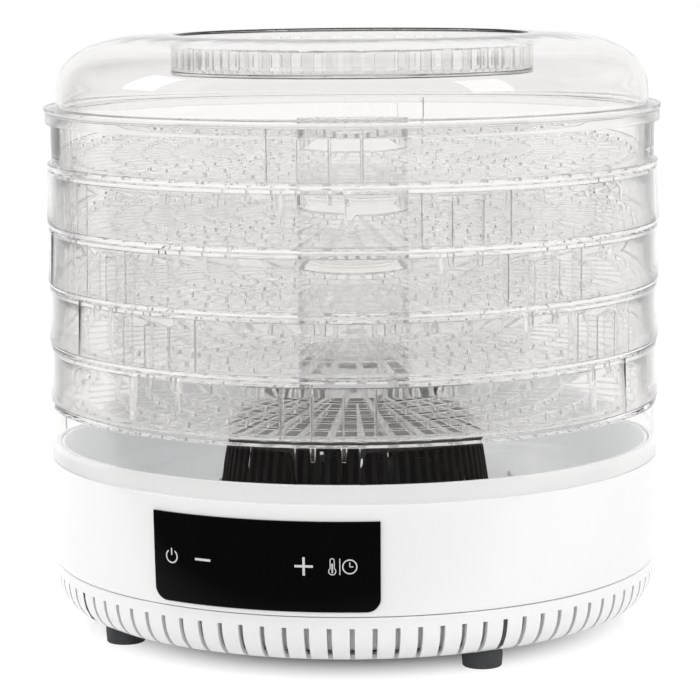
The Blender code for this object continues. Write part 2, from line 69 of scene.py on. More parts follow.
# A Mix node's colour sockets go by number, because its plain ones have the same names.
MIX_FACTOR, MIX_A, MIX_B, MIX_RESULT = 0, 6, 7, 2


# ------------------------------------------------------------------ grids and bodies

def softened(points, reach, steps=3):
    """Round the inner corners of an open outline.

    Each corner B becomes the curve (1-t)^2 A + 2t(1-t) B + t^2 C, where A and C lie on the two
    sides at the given reach from B, or at 45% of a shorter side.
    """
    p = np.asarray(points, float)
    before, corner, after = p[:-2], p[1:-1], p[2:]
    back, on = before - corner, after - corner
    back_len = np.linalg.norm(back, axis=1, keepdims=True)
    on_len = np.linalg.norm(on, axis=1, keepdims=True)
    a = corner + back / back_len * np.minimum(reach, 0.45 * back_len)
    c = corner + on / on_len * np.minimum(reach, 0.45 * on_len)
    t = np.linspace(0.0, 1.0, steps + 1)[None, :, None]
    curve = (1 - t) ** 2 * a[:, None] + 2 * t * (1 - t) * corner[:, None] + t ** 2 * c[:, None]
    return np.concatenate([p[:1], curve.reshape(-1, 2), p[-1:]])


def stretched(points, count):
    """The same open outline with another number of points, spread evenly by index along it."""
    p = np.asarray(points, float)
    place = np.linspace(0.0, len(p) - 1.0, count)
    whole = np.arange(len(p))
    return np.stack([np.interp(place, whole, p[:, 0]), np.interp(place, whole, p[:, 1])], axis=1)


def on_circle(azimuths, radii, heights, centre=(0.0, 0.0)):
    """Points (r sin a, -r cos a, z) for each azimuth a and each profile place (r, z).

    The azimuths are one for each column, or a table with one for each column and place.
    """
    a = np.radians(np.asarray(azimuths, float))
    a = a[:, None] if a.ndim == 1 else a
    r = np.broadcast_to(radii, (a.shape[0], np.shape(radii)[-1]))
    a = np.broadcast_to(a, r.shape)
    z = np.broadcast_to(heights, r.shape)
    return np.stack([r * np.sin(a) + centre[0], -r * np.cos(a) + centre[1], z], axis=-1)


def turned(azimuths, profile, centre=(0.0, 0.0)):
    """A profile of (radius, height) points carried round the axis through the azimuths."""
    return on_circle(azimuths, profile[:, 0], profile[:, 1], centre)


def skin_faces(count_u, count_v, kept, around):
    """Quads between neighbouring grid points, where point (u, v) has number u * count_v + v."""
    cells = count_u if around else count_u - 1
    index = np.arange(count_u * count_v).reshape(count_u, count_v)
    here, there = index[:cells], np.roll(index, -1, axis=0)[:cells]
    corners = (here[:, :-1], there[:, :-1], there[:, 1:], here[:, 1:])
    return corners, np.stack(corners, axis=-1)[kept]


def walled_faces(count_u, count_v, kept, around):
    """Faces of a closed body between a front grid and a back grid of the same shape.

    Kept cells give a quad on the front and one on the back. A wall joins front and back on each
    side of a kept cell whose neighbour there isn't kept or doesn't exist.
    """
    (a, b, c, d), front = skin_faces(count_u, count_v, kept, around)
    behind = count_u * count_v
    faces = [front, front[:, ::-1] + behind]
    no_cell = np.zeros((1, kept.shape[1]), bool)
    previous = np.roll(kept, 1, axis=0) if around else np.concatenate([no_cell, kept[:-1]])
    following = np.roll(kept, -1, axis=0) if around else np.concatenate([kept[1:], no_cell])
    open_end = np.zeros((kept.shape[0], 1), bool)
    lower = np.concatenate([open_end, kept[:, :-1]], axis=1)
    upper = np.concatenate([kept[:, 1:], open_end], axis=1)
    for neighbour, start, end in ((previous, a, d), (following, c, b), (lower, b, a), (upper, d, c)):
        side = kept & ~neighbour
        faces.append(np.stack([start, end, end + behind, start + behind], axis=-1)[side])
    return np.concatenate(faces)


def add_piece(name, points, faces, material, sharp_deg=32.0):
    """Put points and quads in a mesh, merge what coincides and point the faces outwards."""
    mesh = bpy.data.meshes.new(name)
    mesh.from_pydata(points.reshape(-1, 3).tolist(), [], faces.tolist())
    work = bmesh.new()
    work.from_mesh(mesh)
    loose = [v for v in work.verts if not v.link_faces]
    bmesh.ops.delete(work, geom=loose, context="VERTS")
    bmesh.ops.remove_doubles(work, verts=work.verts, dist=2e-6)
    bmesh.ops.recalc_face_normals(work, faces=work.faces)
    work.to_mesh(mesh)
    work.free()
    mesh.materials.append(material)
    mesh.shade_smooth()
    mesh.set_sharp_from_angle(angle=math.radians(sharp_deg))
    piece = bpy.data.objects.new(name, mesh)
    bpy.context.scene.collection.objects.link(piece)
    return piece


def walled_piece(name, front, back, material, kept=None, around=True, sharp_deg=32.0):
    """A closed body between two grids of points, open where kept is false."""
    count_u, count_v = front.shape[:2]
    if kept is None:
        kept = np.ones((count_u if around else count_u - 1, count_v - 1), bool)
    faces = walled_faces(count_u, count_v, kept, around)
    return add_piece(name, np.concatenate([front, back]), faces, material, sharp_deg)


def turned_body(name, azimuths, front, back, material, kept=None):
    """A closed body between two profiles with as many points, both turned round the stack's axis."""
    return walled_piece(name, turned(azimuths, front), turned(azimuths, back), material, kept)


def turned_piece(name, profile, material, count=48, centre=(0.0, 0.0), sharp_deg=32.0):
    """A solid turned from an outline that starts and ends on its own axis, where it has its poles."""
    azimuths = slot_lines(count, 0.0)
    _, faces = skin_faces(count, len(profile), every_cell(azimuths, profile), True)
    return add_piece(name, turned(azimuths, profile, centre), faces, material, sharp_deg)


def belongs(piece, body, slot, *nodes):
    """Carry a piece on a body and hide the nodes that it stands for. The slot is not used."""
    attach(piece, body)
    if nodes:
        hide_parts(*nodes)
    return piece


def off_centre(azimuths, centre, step):
    """Signed distance in degrees from the nearest of the azimuths centre + k * step."""
    return (np.asarray(azimuths) - centre + step / 2.0) % step - step / 2.0


def middles(azimuths):
    """Azimuths halfway between neighbours, the last one across 360 degrees."""
    return 0.5 * (azimuths + np.append(azimuths[1:], azimuths[0] + 360.0))


def slot_lines(count, *offsets):
    """Sorted azimuths of an even row of slots, each slot's taken with all of the offsets."""
    slots = np.arange(count) * (360.0 / count)
    return np.sort(np.concatenate([slots + offset for offset in offsets]) % 360.0)


def every_cell(azimuths, profile):
    """A mask that keeps all cells of a grid that goes around."""
    return np.ones((len(azimuths), len(profile) - 1), bool)


# ------------------------------------------------------------------ materials

def node_group(name, sockets_in, sockets_out):
    """A new shader node group with float or colour sockets, and its two end nodes."""
    group = bpy.data.node_groups.new(name, "ShaderNodeTree")
    for label, kind, value in sockets_in:
        socket = group.interface.new_socket(label, in_out="INPUT", socket_type=kind)
        socket.default_value = value
    for label, kind in sockets_out:
        group.interface.new_socket(label, in_out="OUTPUT", socket_type=kind)
    return group, group.nodes.new("NodeGroupInput"), group.nodes.new("NodeGroupOutput")


def node(tree, kind, values=(), **settings):
    """A new node in a tree, with settings of its own and values on its inputs."""
    made = tree.nodes.new(kind)
    for key, value in settings.items():
        setattr(made, key, value)
    for key, value in dict(values).items():
        made.inputs[key].default_value = value
    return made


def surface_group():
    """Mottling and fine grain on Object coordinates, used by every finish.

    A broad soft noise mixes two colours and moves the roughness between two values. Normal comes
    from a grain whose height is small.
    """
    found = bpy.data.node_groups.get("surface_variation")
    if found:
        return found
    group, start, end = node_group(
        "surface_variation",
        [("Colour", "NodeSocketColor", (0.8, 0.8, 0.8, 1.0)),
         ("Second Colour", "NodeSocketColor", (0.8, 0.8, 0.8, 1.0)),
         ("Broad Scale", "NodeSocketFloat", 6.0), ("Grain Scale", "NodeSocketFloat", 900.0),
         ("Roughness Low", "NodeSocketFloat", 0.1), ("Roughness High", "NodeSocketFloat", 0.2),
         ("Grain Strength", "NodeSocketFloat", 0.05), ("Grain Distance", "NodeSocketFloat", 0.0002)],
        [("Colour", "NodeSocketColor"), ("Roughness", "NodeSocketFloat"), ("Normal", "NodeSocketVector")],
    )
    link = group.links.new
    place = node(group, "ShaderNodeTexCoord")
    broad = node(group, "ShaderNodeTexNoise", {"Detail": 3.0, "Roughness": 0.55})
    grain = node(group, "ShaderNodeTexNoise", {"Detail": 2.0, "Roughness": 0.6})
    tone = node(group, "ShaderNodeMix", data_type="RGBA")
    rough = node(group, "ShaderNodeMapRange", {"From Min": 0.3, "From Max": 0.7})
    bump = node(group, "ShaderNodeBump")
    for texture, scale in ((broad, "Broad Scale"), (grain, "Grain Scale")):
        link(place.outputs["Object"], texture.inputs["Vector"])
        link(start.outputs[scale], texture.inputs["Scale"])
    link(broad.outputs["Fac"], tone.inputs[MIX_FACTOR])
    link(start.outputs["Colour"], tone.inputs[MIX_A])
    link(start.outputs["Second Colour"], tone.inputs[MIX_B])
    link(broad.outputs["Fac"], rough.inputs["Value"])
    link(start.outputs["Roughness Low"], rough.inputs["To Min"])
    link(start.outputs["Roughness High"], rough.inputs["To Max"])
    link(grain.outputs["Fac"], bump.inputs["Height"])
    link(start.outputs["Grain Strength"], bump.inputs["Strength"])
    link(start.outputs["Grain Distance"], bump.inputs["Distance"])
    link(tone.outputs[MIX_RESULT], end.inputs["Colour"])
    link(rough.outputs["Result"], end.inputs["Roughness"])
    link(bump.outputs["Normal"], end.inputs["Normal"])
    return group


def look():
    """The colours and brightness that the sidebar holds."""
    return bpy.context.scene.dehydrator_finish


def shade(colour, factor):
    """The same colour, lighter or darker by a factor."""
    return tuple(factor * c for c in colour)


def finish_material(name, colour, second, roughness, grain=(900.0, 0.05, 0.0002), broad=6.0, **plain):
    """A Principled material whose colour, roughness and normal come from the shared group."""
    found = bpy.data.materials.get(name)
    if found:
        return found
    made = bpy.data.materials.new(name)
    made.use_nodes = True
    tree = made.node_tree
    link = tree.links.new
    shader = tree.nodes["Principled BSDF"]
    varied = node(tree, "ShaderNodeGroup", node_tree=surface_group())
    scale, strength, distance = grain
    values = {"Colour": (*colour, 1.0), "Second Colour": (*second, 1.0), "Broad Scale": broad,
              "Grain Scale": scale, "Grain Strength": strength, "Grain Distance": distance,
              "Roughness Low": roughness[0], "Roughness High": roughness[1]}
    for key, value in values.items():
        varied.inputs[key].default_value = value
    link(varied.outputs["Colour"], shader.inputs["Base Color"])
    link(varied.outputs["Roughness"], shader.inputs["Roughness"])
    link(varied.outputs["Normal"], shader.inputs["Normal"])
    for key, value in plain.items():
        shader.inputs[key.replace("_", " ")].default_value = value
    return made


def clear_plastic(name, tint, through=1.0, roughness=(0.0, 0.02)):
    """Clear moulded plastic: glass for what is seen, open to lamps and to light from matt surfaces.

    A share of light passes through and the rest is scattered by the fine texture of the moulding.
    """
    found = bpy.data.materials.get(name)
    if found:
        return found
    made = finish_material(name, tuple(tint), shade(tint, 0.99), roughness, grain=(45.0, 0.10, 0.0004),
                           broad=14.0, Transmission_Weight=through, IOR=1.42)
    tree = made.node_tree
    link = tree.links.new
    shader = tree.nodes["Principled BSDF"]
    path = node(tree, "ShaderNodeLightPath")
    either = node(tree, "ShaderNodeMath", operation="MAXIMUM")
    passed = node(tree, "ShaderNodeBsdfTransparent", {"Color": (0.965, 0.967, 0.97, 1.0)})
    mixed = node(tree, "ShaderNodeMixShader")
    link(path.outputs["Is Shadow Ray"], either.inputs[0])
    link(path.outputs["Is Diffuse Ray"], either.inputs[1])
    link(either.outputs["Value"], mixed.inputs["Fac"])
    link(shader.outputs["BSDF"], mixed.inputs[1])
    link(passed.outputs["BSDF"], mixed.inputs[2])
    link(mixed.outputs["Shader"], tree.nodes["Material Output"].inputs["Surface"])
    return made


def white_plastic():
    """Glossy white of the housing, under a thin coat."""
    return finish_material("white_gloss_plastic", tuple(look().housing), shade(look().housing, 0.975),
                           (0.16, 0.24), grain=(700.0, 0.03, 0.0001), Coat_Weight=0.35, Coat_Roughness=0.05)


def panel_black():
    """Black of the touch panel, smooth and weakly mirroring."""
    return finish_material("panel_black_gloss", tuple(look().panel), shade(look().panel, 1.3),
                           (0.05, 0.09), grain=(300.0, 0.02, 0.0001), Specular_IOR_Level=0.12)


def guard_black():
    """Matt black of the fan guard and the fan."""
    return finish_material("guard_black_plastic", tuple(look().guard), shade(look().guard, 1.5),
                           (0.45, 0.6), grain=(1200.0, 0.15, 0.0002), broad=30.0, Specular_IOR_Level=0.03)


def foot_rubber():
    """Dark grey rubber of the feet and the bush."""
    return finish_material("foot_rubber", tuple(look().rubber), shade(look().rubber, 0.7),
                           (0.65, 0.85), grain=(1500.0, 0.3, 0.0003), broad=60.0)


def icon_print():
    """Pale grey ink of the touch icons."""
    return finish_material("icon_print", (0.62, 0.62, 0.62), (0.55, 0.55, 0.55), (0.35, 0.5), broad=200.0)


def inner_finishes():
    """Finishes for the CAD nodes that stay, by material slot."""
    return {
        "steel": finish_material("zinc_steel", (0.60, 0.60, 0.61), (0.50, 0.50, 0.52), (0.25, 0.45),
                                 grain=(1400.0, 0.2, 0.0001), broad=40.0, Metallic=1.0),
        "heater_wire": finish_material("oxidised_wire", (0.30, 0.24, 0.20), (0.18, 0.14, 0.12), (0.45, 0.6),
                                       broad=120.0, Metallic=1.0),
        "mica": finish_material("mica_board", (0.55, 0.47, 0.36), (0.42, 0.35, 0.26), (0.45, 0.7),
                                broad=160.0),
        "circuit_green": finish_material("circuit_board", (0.03, 0.17, 0.08), (0.02, 0.12, 0.06), (0.3, 0.45),
                                         broad=90.0),
        "copper": finish_material("copper_film", (0.72, 0.35, 0.20), (0.60, 0.28, 0.16), (0.3, 0.5),
                                  Metallic=1.0),
        "black_matte": guard_black(),
        "white_plastic": white_plastic(),
        "dark_rubber": foot_rubber(),
    }


# ------------------------------------------------------------------ settings

class DehydratorSizes(bpy.types.PropertyGroup):
    """Counts and widths of the fine detail"""
    spokes: bpy.props.IntProperty(name="Spokes", description="Radial bars in a tray's floor",
                                  default=60, min=12)
    rows: bpy.props.IntProperty(name="Rows", description="Rings of openings in a tray's floor",
                                default=7, min=2)
    ring_bar: bpy.props.FloatProperty(name="Ring Width", description="Width of a ring bar", default=2.0 * MM,
                                      unit="LENGTH")
    grid_thick: bpy.props.FloatProperty(name="Grid Thickness", description="Height of the floor's bars",
                                        default=2.2 * MM, unit="LENGTH")
    lid_slots: bpy.props.IntProperty(name="Lid Slots", description="Vent slots round the lid's well",
                                     default=50)
    vents: bpy.props.IntProperty(name="Housing Vents", description="Slots in the lower housing", default=90)
    vent_width: bpy.props.FloatProperty(name="Vent Width", description="Width of a housing slot",
                                        default=2.5 * MM, unit="LENGTH")
    guard_bars: bpy.props.IntProperty(name="Guard Bars", description="Upright bars of the fan guard",
                                      default=72)


class DehydratorFinish(bpy.types.PropertyGroup):
    """Colours of the plastics, the rubber and the stage, and the room's brightness"""
    clear: bpy.props.FloatVectorProperty(name="Clear Trays", description="Tint of the trays' plastic",
                                         subtype="COLOR", default=(0.980, 0.977, 0.970), min=0.0, max=1.0)
    clear_lid: bpy.props.FloatVectorProperty(name="Clear Lid", description="Tint of the lid's plastic",
                                             subtype="COLOR", default=(0.955, 0.951, 0.943), min=0.0, max=1.0)
    housing: bpy.props.FloatVectorProperty(name="Housing", description="Colour of the base's plastic",
                                           subtype="COLOR", default=(0.80, 0.80, 0.795), min=0.0, max=1.0)
    panel: bpy.props.FloatVectorProperty(name="Panel", description="Colour of the touch panel",
                                         subtype="COLOR", default=(0.0015, 0.0015, 0.0018), min=0.0, max=1.0)
    guard: bpy.props.FloatVectorProperty(name="Guard", description="Colour of the fan guard",
                                         subtype="COLOR", default=(0.007, 0.006, 0.0045), min=0.0, max=1.0)
    rubber: bpy.props.FloatVectorProperty(name="Rubber", description="Colour of the feet",
                                          subtype="COLOR", default=(0.055, 0.057, 0.06), min=0.0, max=1.0)
    room_front: bpy.props.FloatProperty(name="Room Front", description="Brightness of the room in front",
                                        default=0.60, min=0.0)
    room_side: bpy.props.FloatProperty(name="Room Side", description="Brightness of the room at the sides",
                                       default=0.52, min=0.0)
    floor: bpy.props.FloatVectorProperty(name="Floor", description="Colour of the stage",
                                         subtype="COLOR", default=(0.93, 0.93, 0.93), min=0.0, max=1.0)


# ------------------------------------------------------------------ trays

# Heights of a tray count from the underside of its floor, angles are in degrees.
WALL_TOP = 29.5 * MM
FLOOR_THICK = 3.5 * MM
FLOOR_SINK = 0.3 * MM
FLOOR_EDGE = 152.4 * MM
FLOOR_RIM = 0.2 * MM
WALL_INNER = 159.6 * MM
WINDOW_DEPTH = 0.45 * MM
PIN_DROP = 8.0 * MM
RIB_INNER = 153.8 * MM
COLLAR_R = 30.2 * MM
HUB_R = 33.0 * MM
SHORT_SPOKE_R = 64.0 * MM
SPOKE_HALF_DEG = 0.8
RIB_STEP = 5.6
RIB_HALF_DEG = 0.24
PIN_HALF_DEG = (0.62, 0.36)
WINDOW_HALF_DEG = 5.6
WINDOW_STEP_DEG = 0.15
STEP_DEG = 0.03


def tray_azimuths(sizes, group):
    """Lines at the spokes' sides and middles, and at the sides of ribs, pins and skirt windows."""
    pitch = 360.0 / sizes.spokes
    spokes = np.arange(sizes.spokes) * pitch
    lines = [spokes - SPOKE_HALF_DEG, spokes + SPOKE_HALF_DEG, spokes + pitch / 2.0]
    centres = group + 90.0 * np.arange(4)
    for side in (-1.5, -0.5, 0.5, 1.5):
        for edge in (0.0, 0.5 * RIB_HALF_DEG, RIB_HALF_DEG, RIB_HALF_DEG + STEP_DEG):
            lines += [centres + side * RIB_STEP - edge, centres + side * RIB_STEP + edge]
    for side in (-0.5, 0.5):
        for edge in PIN_HALF_DEG:
            lines += [centres + side * RIB_STEP - edge, centres + side * RIB_STEP + edge]
    for edge in (WINDOW_HALF_DEG, WINDOW_HALF_DEG + WINDOW_STEP_DEG):
        lines += [centres - edge, centres + edge]
    return np.unique(np.round(np.concatenate(lines) % 360.0, 4))


def spoke_shift(sizes, azimuths, radii):
    """Azimuths for each column and radius that give the spokes their width in metres.

    A long spoke is 2.2 mm wide at the hub and 4.3 mm at the rim. A short one starts as a 1 mm tip
    where the long ones stand far enough apart. Within each sector the columns move together, in
    proportion between the sides of the spokes.
    """
    sector = 720.0 / sizes.spokes
    fold = off_centre(azimuths, 0.0, sector)
    share = np.clip((radii - HUB_R) / (FLOOR_EDGE - HUB_R), 0.0, 1.0)
    short = np.clip((radii - SHORT_SPOKE_R) / (FLOOR_EDGE - SHORT_SPOKE_R), 0.0, 1.0)
    long_half = np.degrees((1.1 + 1.05 * share) * MM / radii)
    short_half = np.degrees((0.5 + 1.65 * short) * MM / radii)
    moved = np.empty((len(azimuths), len(radii)))
    places = [0.0, SPOKE_HALF_DEG, 0.5 * sector - SPOKE_HALF_DEG, 0.5 * sector]
    for column, (wide, narrow) in enumerate(zip(long_half, short_half)):
        moved[:, column] = np.interp(np.abs(fold), places, [0.0, wide, 0.5 * sector - narrow, 0.5 * sector])
    return azimuths[:, None] - fold[:, None] + np.sign(fold)[:, None] * moved


def floor_rows(sizes):
    """Inner and outer radii of the rings of openings, the last one a thin slot at the rim."""
    last = FLOOR_EDGE - 5.0 * MM
    pitch = (last - HUB_R) / sizes.rows
    starts = HUB_R + pitch * np.arange(sizes.rows)
    rows = np.stack([starts, starts + pitch - sizes.ring_bar], axis=1).ravel()
    return np.append(rows, [FLOOR_EDGE - 3.4 * MM, FLOOR_EDGE])


def each_column(*places):
    """A profile of its own for each column.

    A place is a radius and a height, and each of them is one number or one value per column.
    """
    count = max(np.size(value) for place in places for value in place)
    points = [np.stack([np.broadcast_to(value, count) for value in place], axis=1) for place in places]
    return np.stack(points, axis=1)


def same_column(profile, count):
    """One profile, repeated for every column."""
    return np.repeat(profile[None], count, axis=0)


def tray_front(azimuths, group, rows, collar):
    """Profiles of a tray's front, one for each azimuth.

    They run from the collar's top down its outside, over the floor, up the wall, down to the
    shoulder and down the skirt. Columns at a rib stand further in, by 0.5 mm less at its sides.
    """
    off = off_centre(azimuths, group, 90.0)
    to_rib = np.abs(off[:, None] - np.array([-1.5, -0.5, 0.5, 1.5]) * RIB_STEP)
    on_rib = to_rib < RIB_HALF_DEG + 0.5 * STEP_DEG
    aside = np.clip(to_rib.min(axis=1) / RIB_HALF_DEG, 0.0, 1.0)
    rib_r = np.where(on_rib.any(axis=1), RIB_INNER + 0.5 * MM * aside ** 2, WALL_INNER)
    rib_top = np.where(on_rib[:, [0, 3]].any(axis=1), WALL_TOP - 0.7 * MM, WALL_TOP - 5.0 * MM)
    inner = each_column(
        (FLOOR_EDGE + FLOOR_RIM, FLOOR_THICK),
        (rib_r, FLOOR_THICK),
        (rib_r, rib_top - 0.4 * MM),
        (np.minimum(rib_r + 0.4 * MM, WALL_INNER), rib_top),
        (WALL_INNER, rib_top))

    upper = softened(np.array([[159.6, 26.0], [159.6, 29.5], [161.6, 29.5], [161.6, 3.5], [163.7, 3.5],
                               [163.75, 1.2]]) * MM, 0.55 * MM)[1:-1]
    lower = softened(np.array([[163.76, 0.4], [164.5, -27.7], [163.6, -27.7]]) * MM, 0.5 * MM)
    outer = same_column(np.concatenate([upper, np.array([[163.75, 0.9]]) * MM, lower]), len(azimuths))
    in_window = np.abs(off) < WINDOW_HALF_DEG + 0.05
    recess = (outer[..., 1] < 0.5 * MM) & (outer[..., 1] > -27.0 * MM) & in_window[:, None]
    outer[..., 0] -= np.where(recess, WINDOW_DEPTH, 0.0)

    floor = np.stack([rows, np.full_like(rows, FLOOR_THICK - FLOOR_SINK)], axis=1)
    start = same_column(np.concatenate([collar, floor]), len(azimuths))
    return np.concatenate([start, inner, outer], axis=1)


def tray_back(azimuths, group, rows, collar, grid_thick, count):
    """Profiles of a tray's back, one for each azimuth, with the given number of points.

    They run inside the collar, under the floor and down inside the skirt. Columns at a pin reach
    down under the floor's rim.
    """
    off = off_centre(azimuths, group, 90.0)
    to_pin = np.abs(off[:, None] - np.array([-0.5, 0.5]) * RIB_STEP)
    drop = np.where((to_pin < PIN_HALF_DEG[1] + 0.01).any(axis=1), -PIN_DROP, 0.0)
    under = each_column(
        (FLOOR_EDGE + FLOOR_RIM, 0.0),
        (155.1 * MM, 0.0),
        (155.8 * MM, drop),
        (157.4 * MM, drop),
        (158.1 * MM, 0.0),
        (161.3 * MM, 0.0))
    floor = np.stack([rows, np.full_like(rows, FLOOR_THICK - FLOOR_SINK - grid_thick)], axis=1)
    start = np.concatenate([collar, floor])
    skirt = softened(np.array([[161.6, 0.0], [161.95, 0.0], [162.7, -27.7], [163.6, -27.7]]) * MM, 0.4 * MM)
    skirt = stretched(skirt, count - len(start) - under.shape[1])
    columns = len(azimuths)
    return np.concatenate([same_column(start, columns), under, same_column(skirt, columns)], axis=1)


def tray_grids(sizes, azimuths, group, low):
    """Front and back grids of one tray, the number of the floor's first row, and its rows' radii."""
    rows = floor_rows(sizes)
    collar_out = np.array([[29.2, 21.5], [29.8, 21.4], [30.0, 21.0], [30.0, 3.8], [30.6, 3.2]]) * MM
    collar_in = np.array([[29.2, 21.5], [28.6, 21.4], [28.4, 21.0], [28.4, 1.6], [28.4, 1.0]]) * MM
    front = tray_front(azimuths, group, rows, collar_out)
    back = tray_back(azimuths, group, rows, collar_in, sizes.grid_thick, front.shape[1])
    first = len(collar_out)
    turn = np.repeat(azimuths[:, None], front.shape[1], axis=1)
    turn[:, first:first + len(rows)] = spoke_shift(sizes, azimuths, rows)
    front_points = on_circle(turn, front[..., 0], front[..., 1] + low)
    back_points = on_circle(turn, back[..., 0], back[..., 1] + low)
    return front_points, back_points, first, rows


def tray_kept(sizes, azimuths, first_row, rows, profile):
    """False in the floor's openings; the short spokes are left out near the hub."""
    pitch = 360.0 / sizes.spokes
    centre = middles(azimuths) % 360.0
    on_spoke = np.abs(off_centre(centre, 0.0, pitch)) < SPOKE_HALF_DEG
    on_long = np.abs(off_centre(centre, 0.0, 2.0 * pitch)) < SPOKE_HALF_DEG
    kept = every_cell(azimuths, profile)
    for row, start in enumerate(rows[::2]):
        kept[:, first_row + 2 * row] = on_long if start < SHORT_SPOKE_R else on_spoke
    return kept


def texture_floor(mesh, low, material):
    """Give the second material to the faces of the floor, found by their centres' place."""
    mesh.materials.append(material)
    centres = np.empty(3 * len(mesh.polygons))
    mesh.polygons.foreach_get("center", centres)
    x, y, z = centres.reshape(-1, 3).T
    reach = np.hypot(x, y)
    at_floor = np.abs(z - low - 1.9 * MM) < 2.0 * MM
    inside = (reach > COLLAR_R) & (reach < FLOOR_EDGE) & at_floor
    mesh.polygons.foreach_set("material_index", inside.astype(np.int32))


class DEHYDRATOR_OT_trays(bpy.types.Operator):
    """Build the five clear trays"""
    bl_idname = "dehydrator.trays"
    bl_label = "Clear Trays"

    def execute(self, context):
        sizes = context.scene.dehydrator_sizes
        plastic = clear_plastic("clear_tray_plastic", look().clear)
        textured = clear_plastic("textured_floor_plastic", look().clear, 0.90, (0.06, 0.12))
        for number, group in enumerate(GROUP_AZIMUTHS, start=1):
            name = f"tray_{number}"
            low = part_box(name)[1].z - WALL_TOP
            azimuths = tray_azimuths(sizes, group)
            front, back, first_row, rows = tray_grids(sizes, azimuths, group, low)
            kept = tray_kept(sizes, azimuths, first_row, rows, front[0])
            piece = walled_piece(f"{name}_clear", front, back, plastic, kept)
            texture_floor(piece.data, low, textured)
            belongs(piece, name, "clear_plastic", name)
        return {"FINISHED"}


# ------------------------------------------------------------------ lid

WELL_R = 95 * MM
DOME_R = 158.3 * MM
DOME_LOW = 284.0 * MM


def dome(wall_r, wall_top, lip_r, top, shrink, count=26):
    """Quarter superellipse of power 2.5 from the well's lip down to the lid's wall.

    r = lip + across * sin(t)^0.8 and z = wall_top + rise * cos(t)^0.8, for t from 0 to 90 degrees.
    """
    t = np.linspace(0.0, 0.5 * math.pi, count)
    across, rise = wall_r - lip_r - shrink, top - wall_top - shrink
    r = lip_r + across * np.sin(t) ** 0.8
    z = wall_top + rise * np.clip(np.cos(t), 0.0, 1.0) ** 0.8
    return np.stack([r, z], axis=1)


def lid_section(top):
    """Outer and inner profile of the lid, and the number of the row that its slots are cut in.

    The outer one runs over the well's floor, up its wall, over the lip and the dome, and down
    the wall to the rim. The inner one follows it from below, 2 mm away.
    """
    floor = top - 18.1 * MM
    slot_low, slot_high = floor + 2.2 * MM, floor + 13.2 * MM
    front = [np.array([[0.0, floor], [45 * MM, floor], [88 * MM, floor]]),
             softened([[90 * MM, floor], [WELL_R, floor], [WELL_R, slot_low]], 1.4 * MM),
             np.array([[WELL_R, slot_high]]),
             softened([[WELL_R, top - 3 * MM], [95.2 * MM, top - 0.3 * MM], [98 * MM, top]], 0.9 * MM),
             dome(DOME_R, DOME_LOW, 98.0 * MM, top, 0.0)[1:]]
    rim = softened(np.array([[158.3, 280.5], [158.3, 278.2], [163.2, 277.7], [163.9, 278.2], [165.0, 278.2],
                             [165.0, 276.2], [164.4, 275.8], [164.4, 269.6], [163.7, 269.6]]) * MM, 0.4 * MM)
    front = np.concatenate(front + [rim])
    back = [np.array([[0.0, floor - 2 * MM], [45 * MM, floor - 2 * MM], [90 * MM, floor - 2 * MM]]),
            softened([[92 * MM, floor - 2 * MM], [97 * MM, floor - 2 * MM], [97 * MM, slot_low]], 1.4 * MM),
            np.array([[97 * MM, slot_high]]),
            softened([[97 * MM, top - 4.0 * MM], [97.2 * MM, top - 2.3 * MM], [99 * MM, top - 2.0 * MM]],
                     0.7 * MM),
            dome(DOME_R, DOME_LOW, 99.0 * MM, top, 2.0 * MM)[1:]]
    under = softened(np.array([[156.3, 280.5], [156.3, 275.4], [163.0, 275.2], [163.0, 269.6],
                               [163.7, 269.6]]) * MM, 0.4 * MM)
    back = np.concatenate(back + [stretched(under, len(rim))])
    well = front[:12]
    to_slot = np.abs(well[:, 1] - slot_low) + np.abs(well[:, 0] - WELL_R)
    return front, back, int(np.argmin(to_slot))


class DEHYDRATOR_OT_lid(bpy.types.Operator):
    """Build the clear lid with its dome, its rim and the slotted well"""
    bl_idname = "dehydrator.lid"
    bl_label = "Clear Lid"

    def execute(self, context):
        count = context.scene.dehydrator_sizes.lid_slots
        pitch = 360.0 / count
        half = pitch * 0.27
        azimuths = slot_lines(count, -half, 0.0, half, pitch / 2)
        front, back, slot_row = lid_section(LID_TOP)
        kept = every_cell(azimuths, front)
        kept[:, slot_row] = np.abs(off_centre(middles(azimuths), 0.0, pitch)) >= half
        plastic = clear_plastic("clear_lid_plastic", look().clear_lid)
        piece = turned_body("lid_clear", azimuths, front, back, plastic, kept)
        belongs(piece, "lid", "clear_plastic", "lid")
        return {"FINISHED"}


# ------------------------------------------------------------------ base

BUSH_AZIMUTH = 176.25
BUSH_HEIGHT = 54.0 * MM


def wall_radius(height):
    """Outer radius of the upper housing: 162.7 mm at the parting line, 164.4 mm at the shoulder."""
    share = np.clip((height - 34.2 * MM) / (56.8 * MM), 0.0, 1.0)
    return 162.7 * MM + 1.7 * MM * share ** 0.6


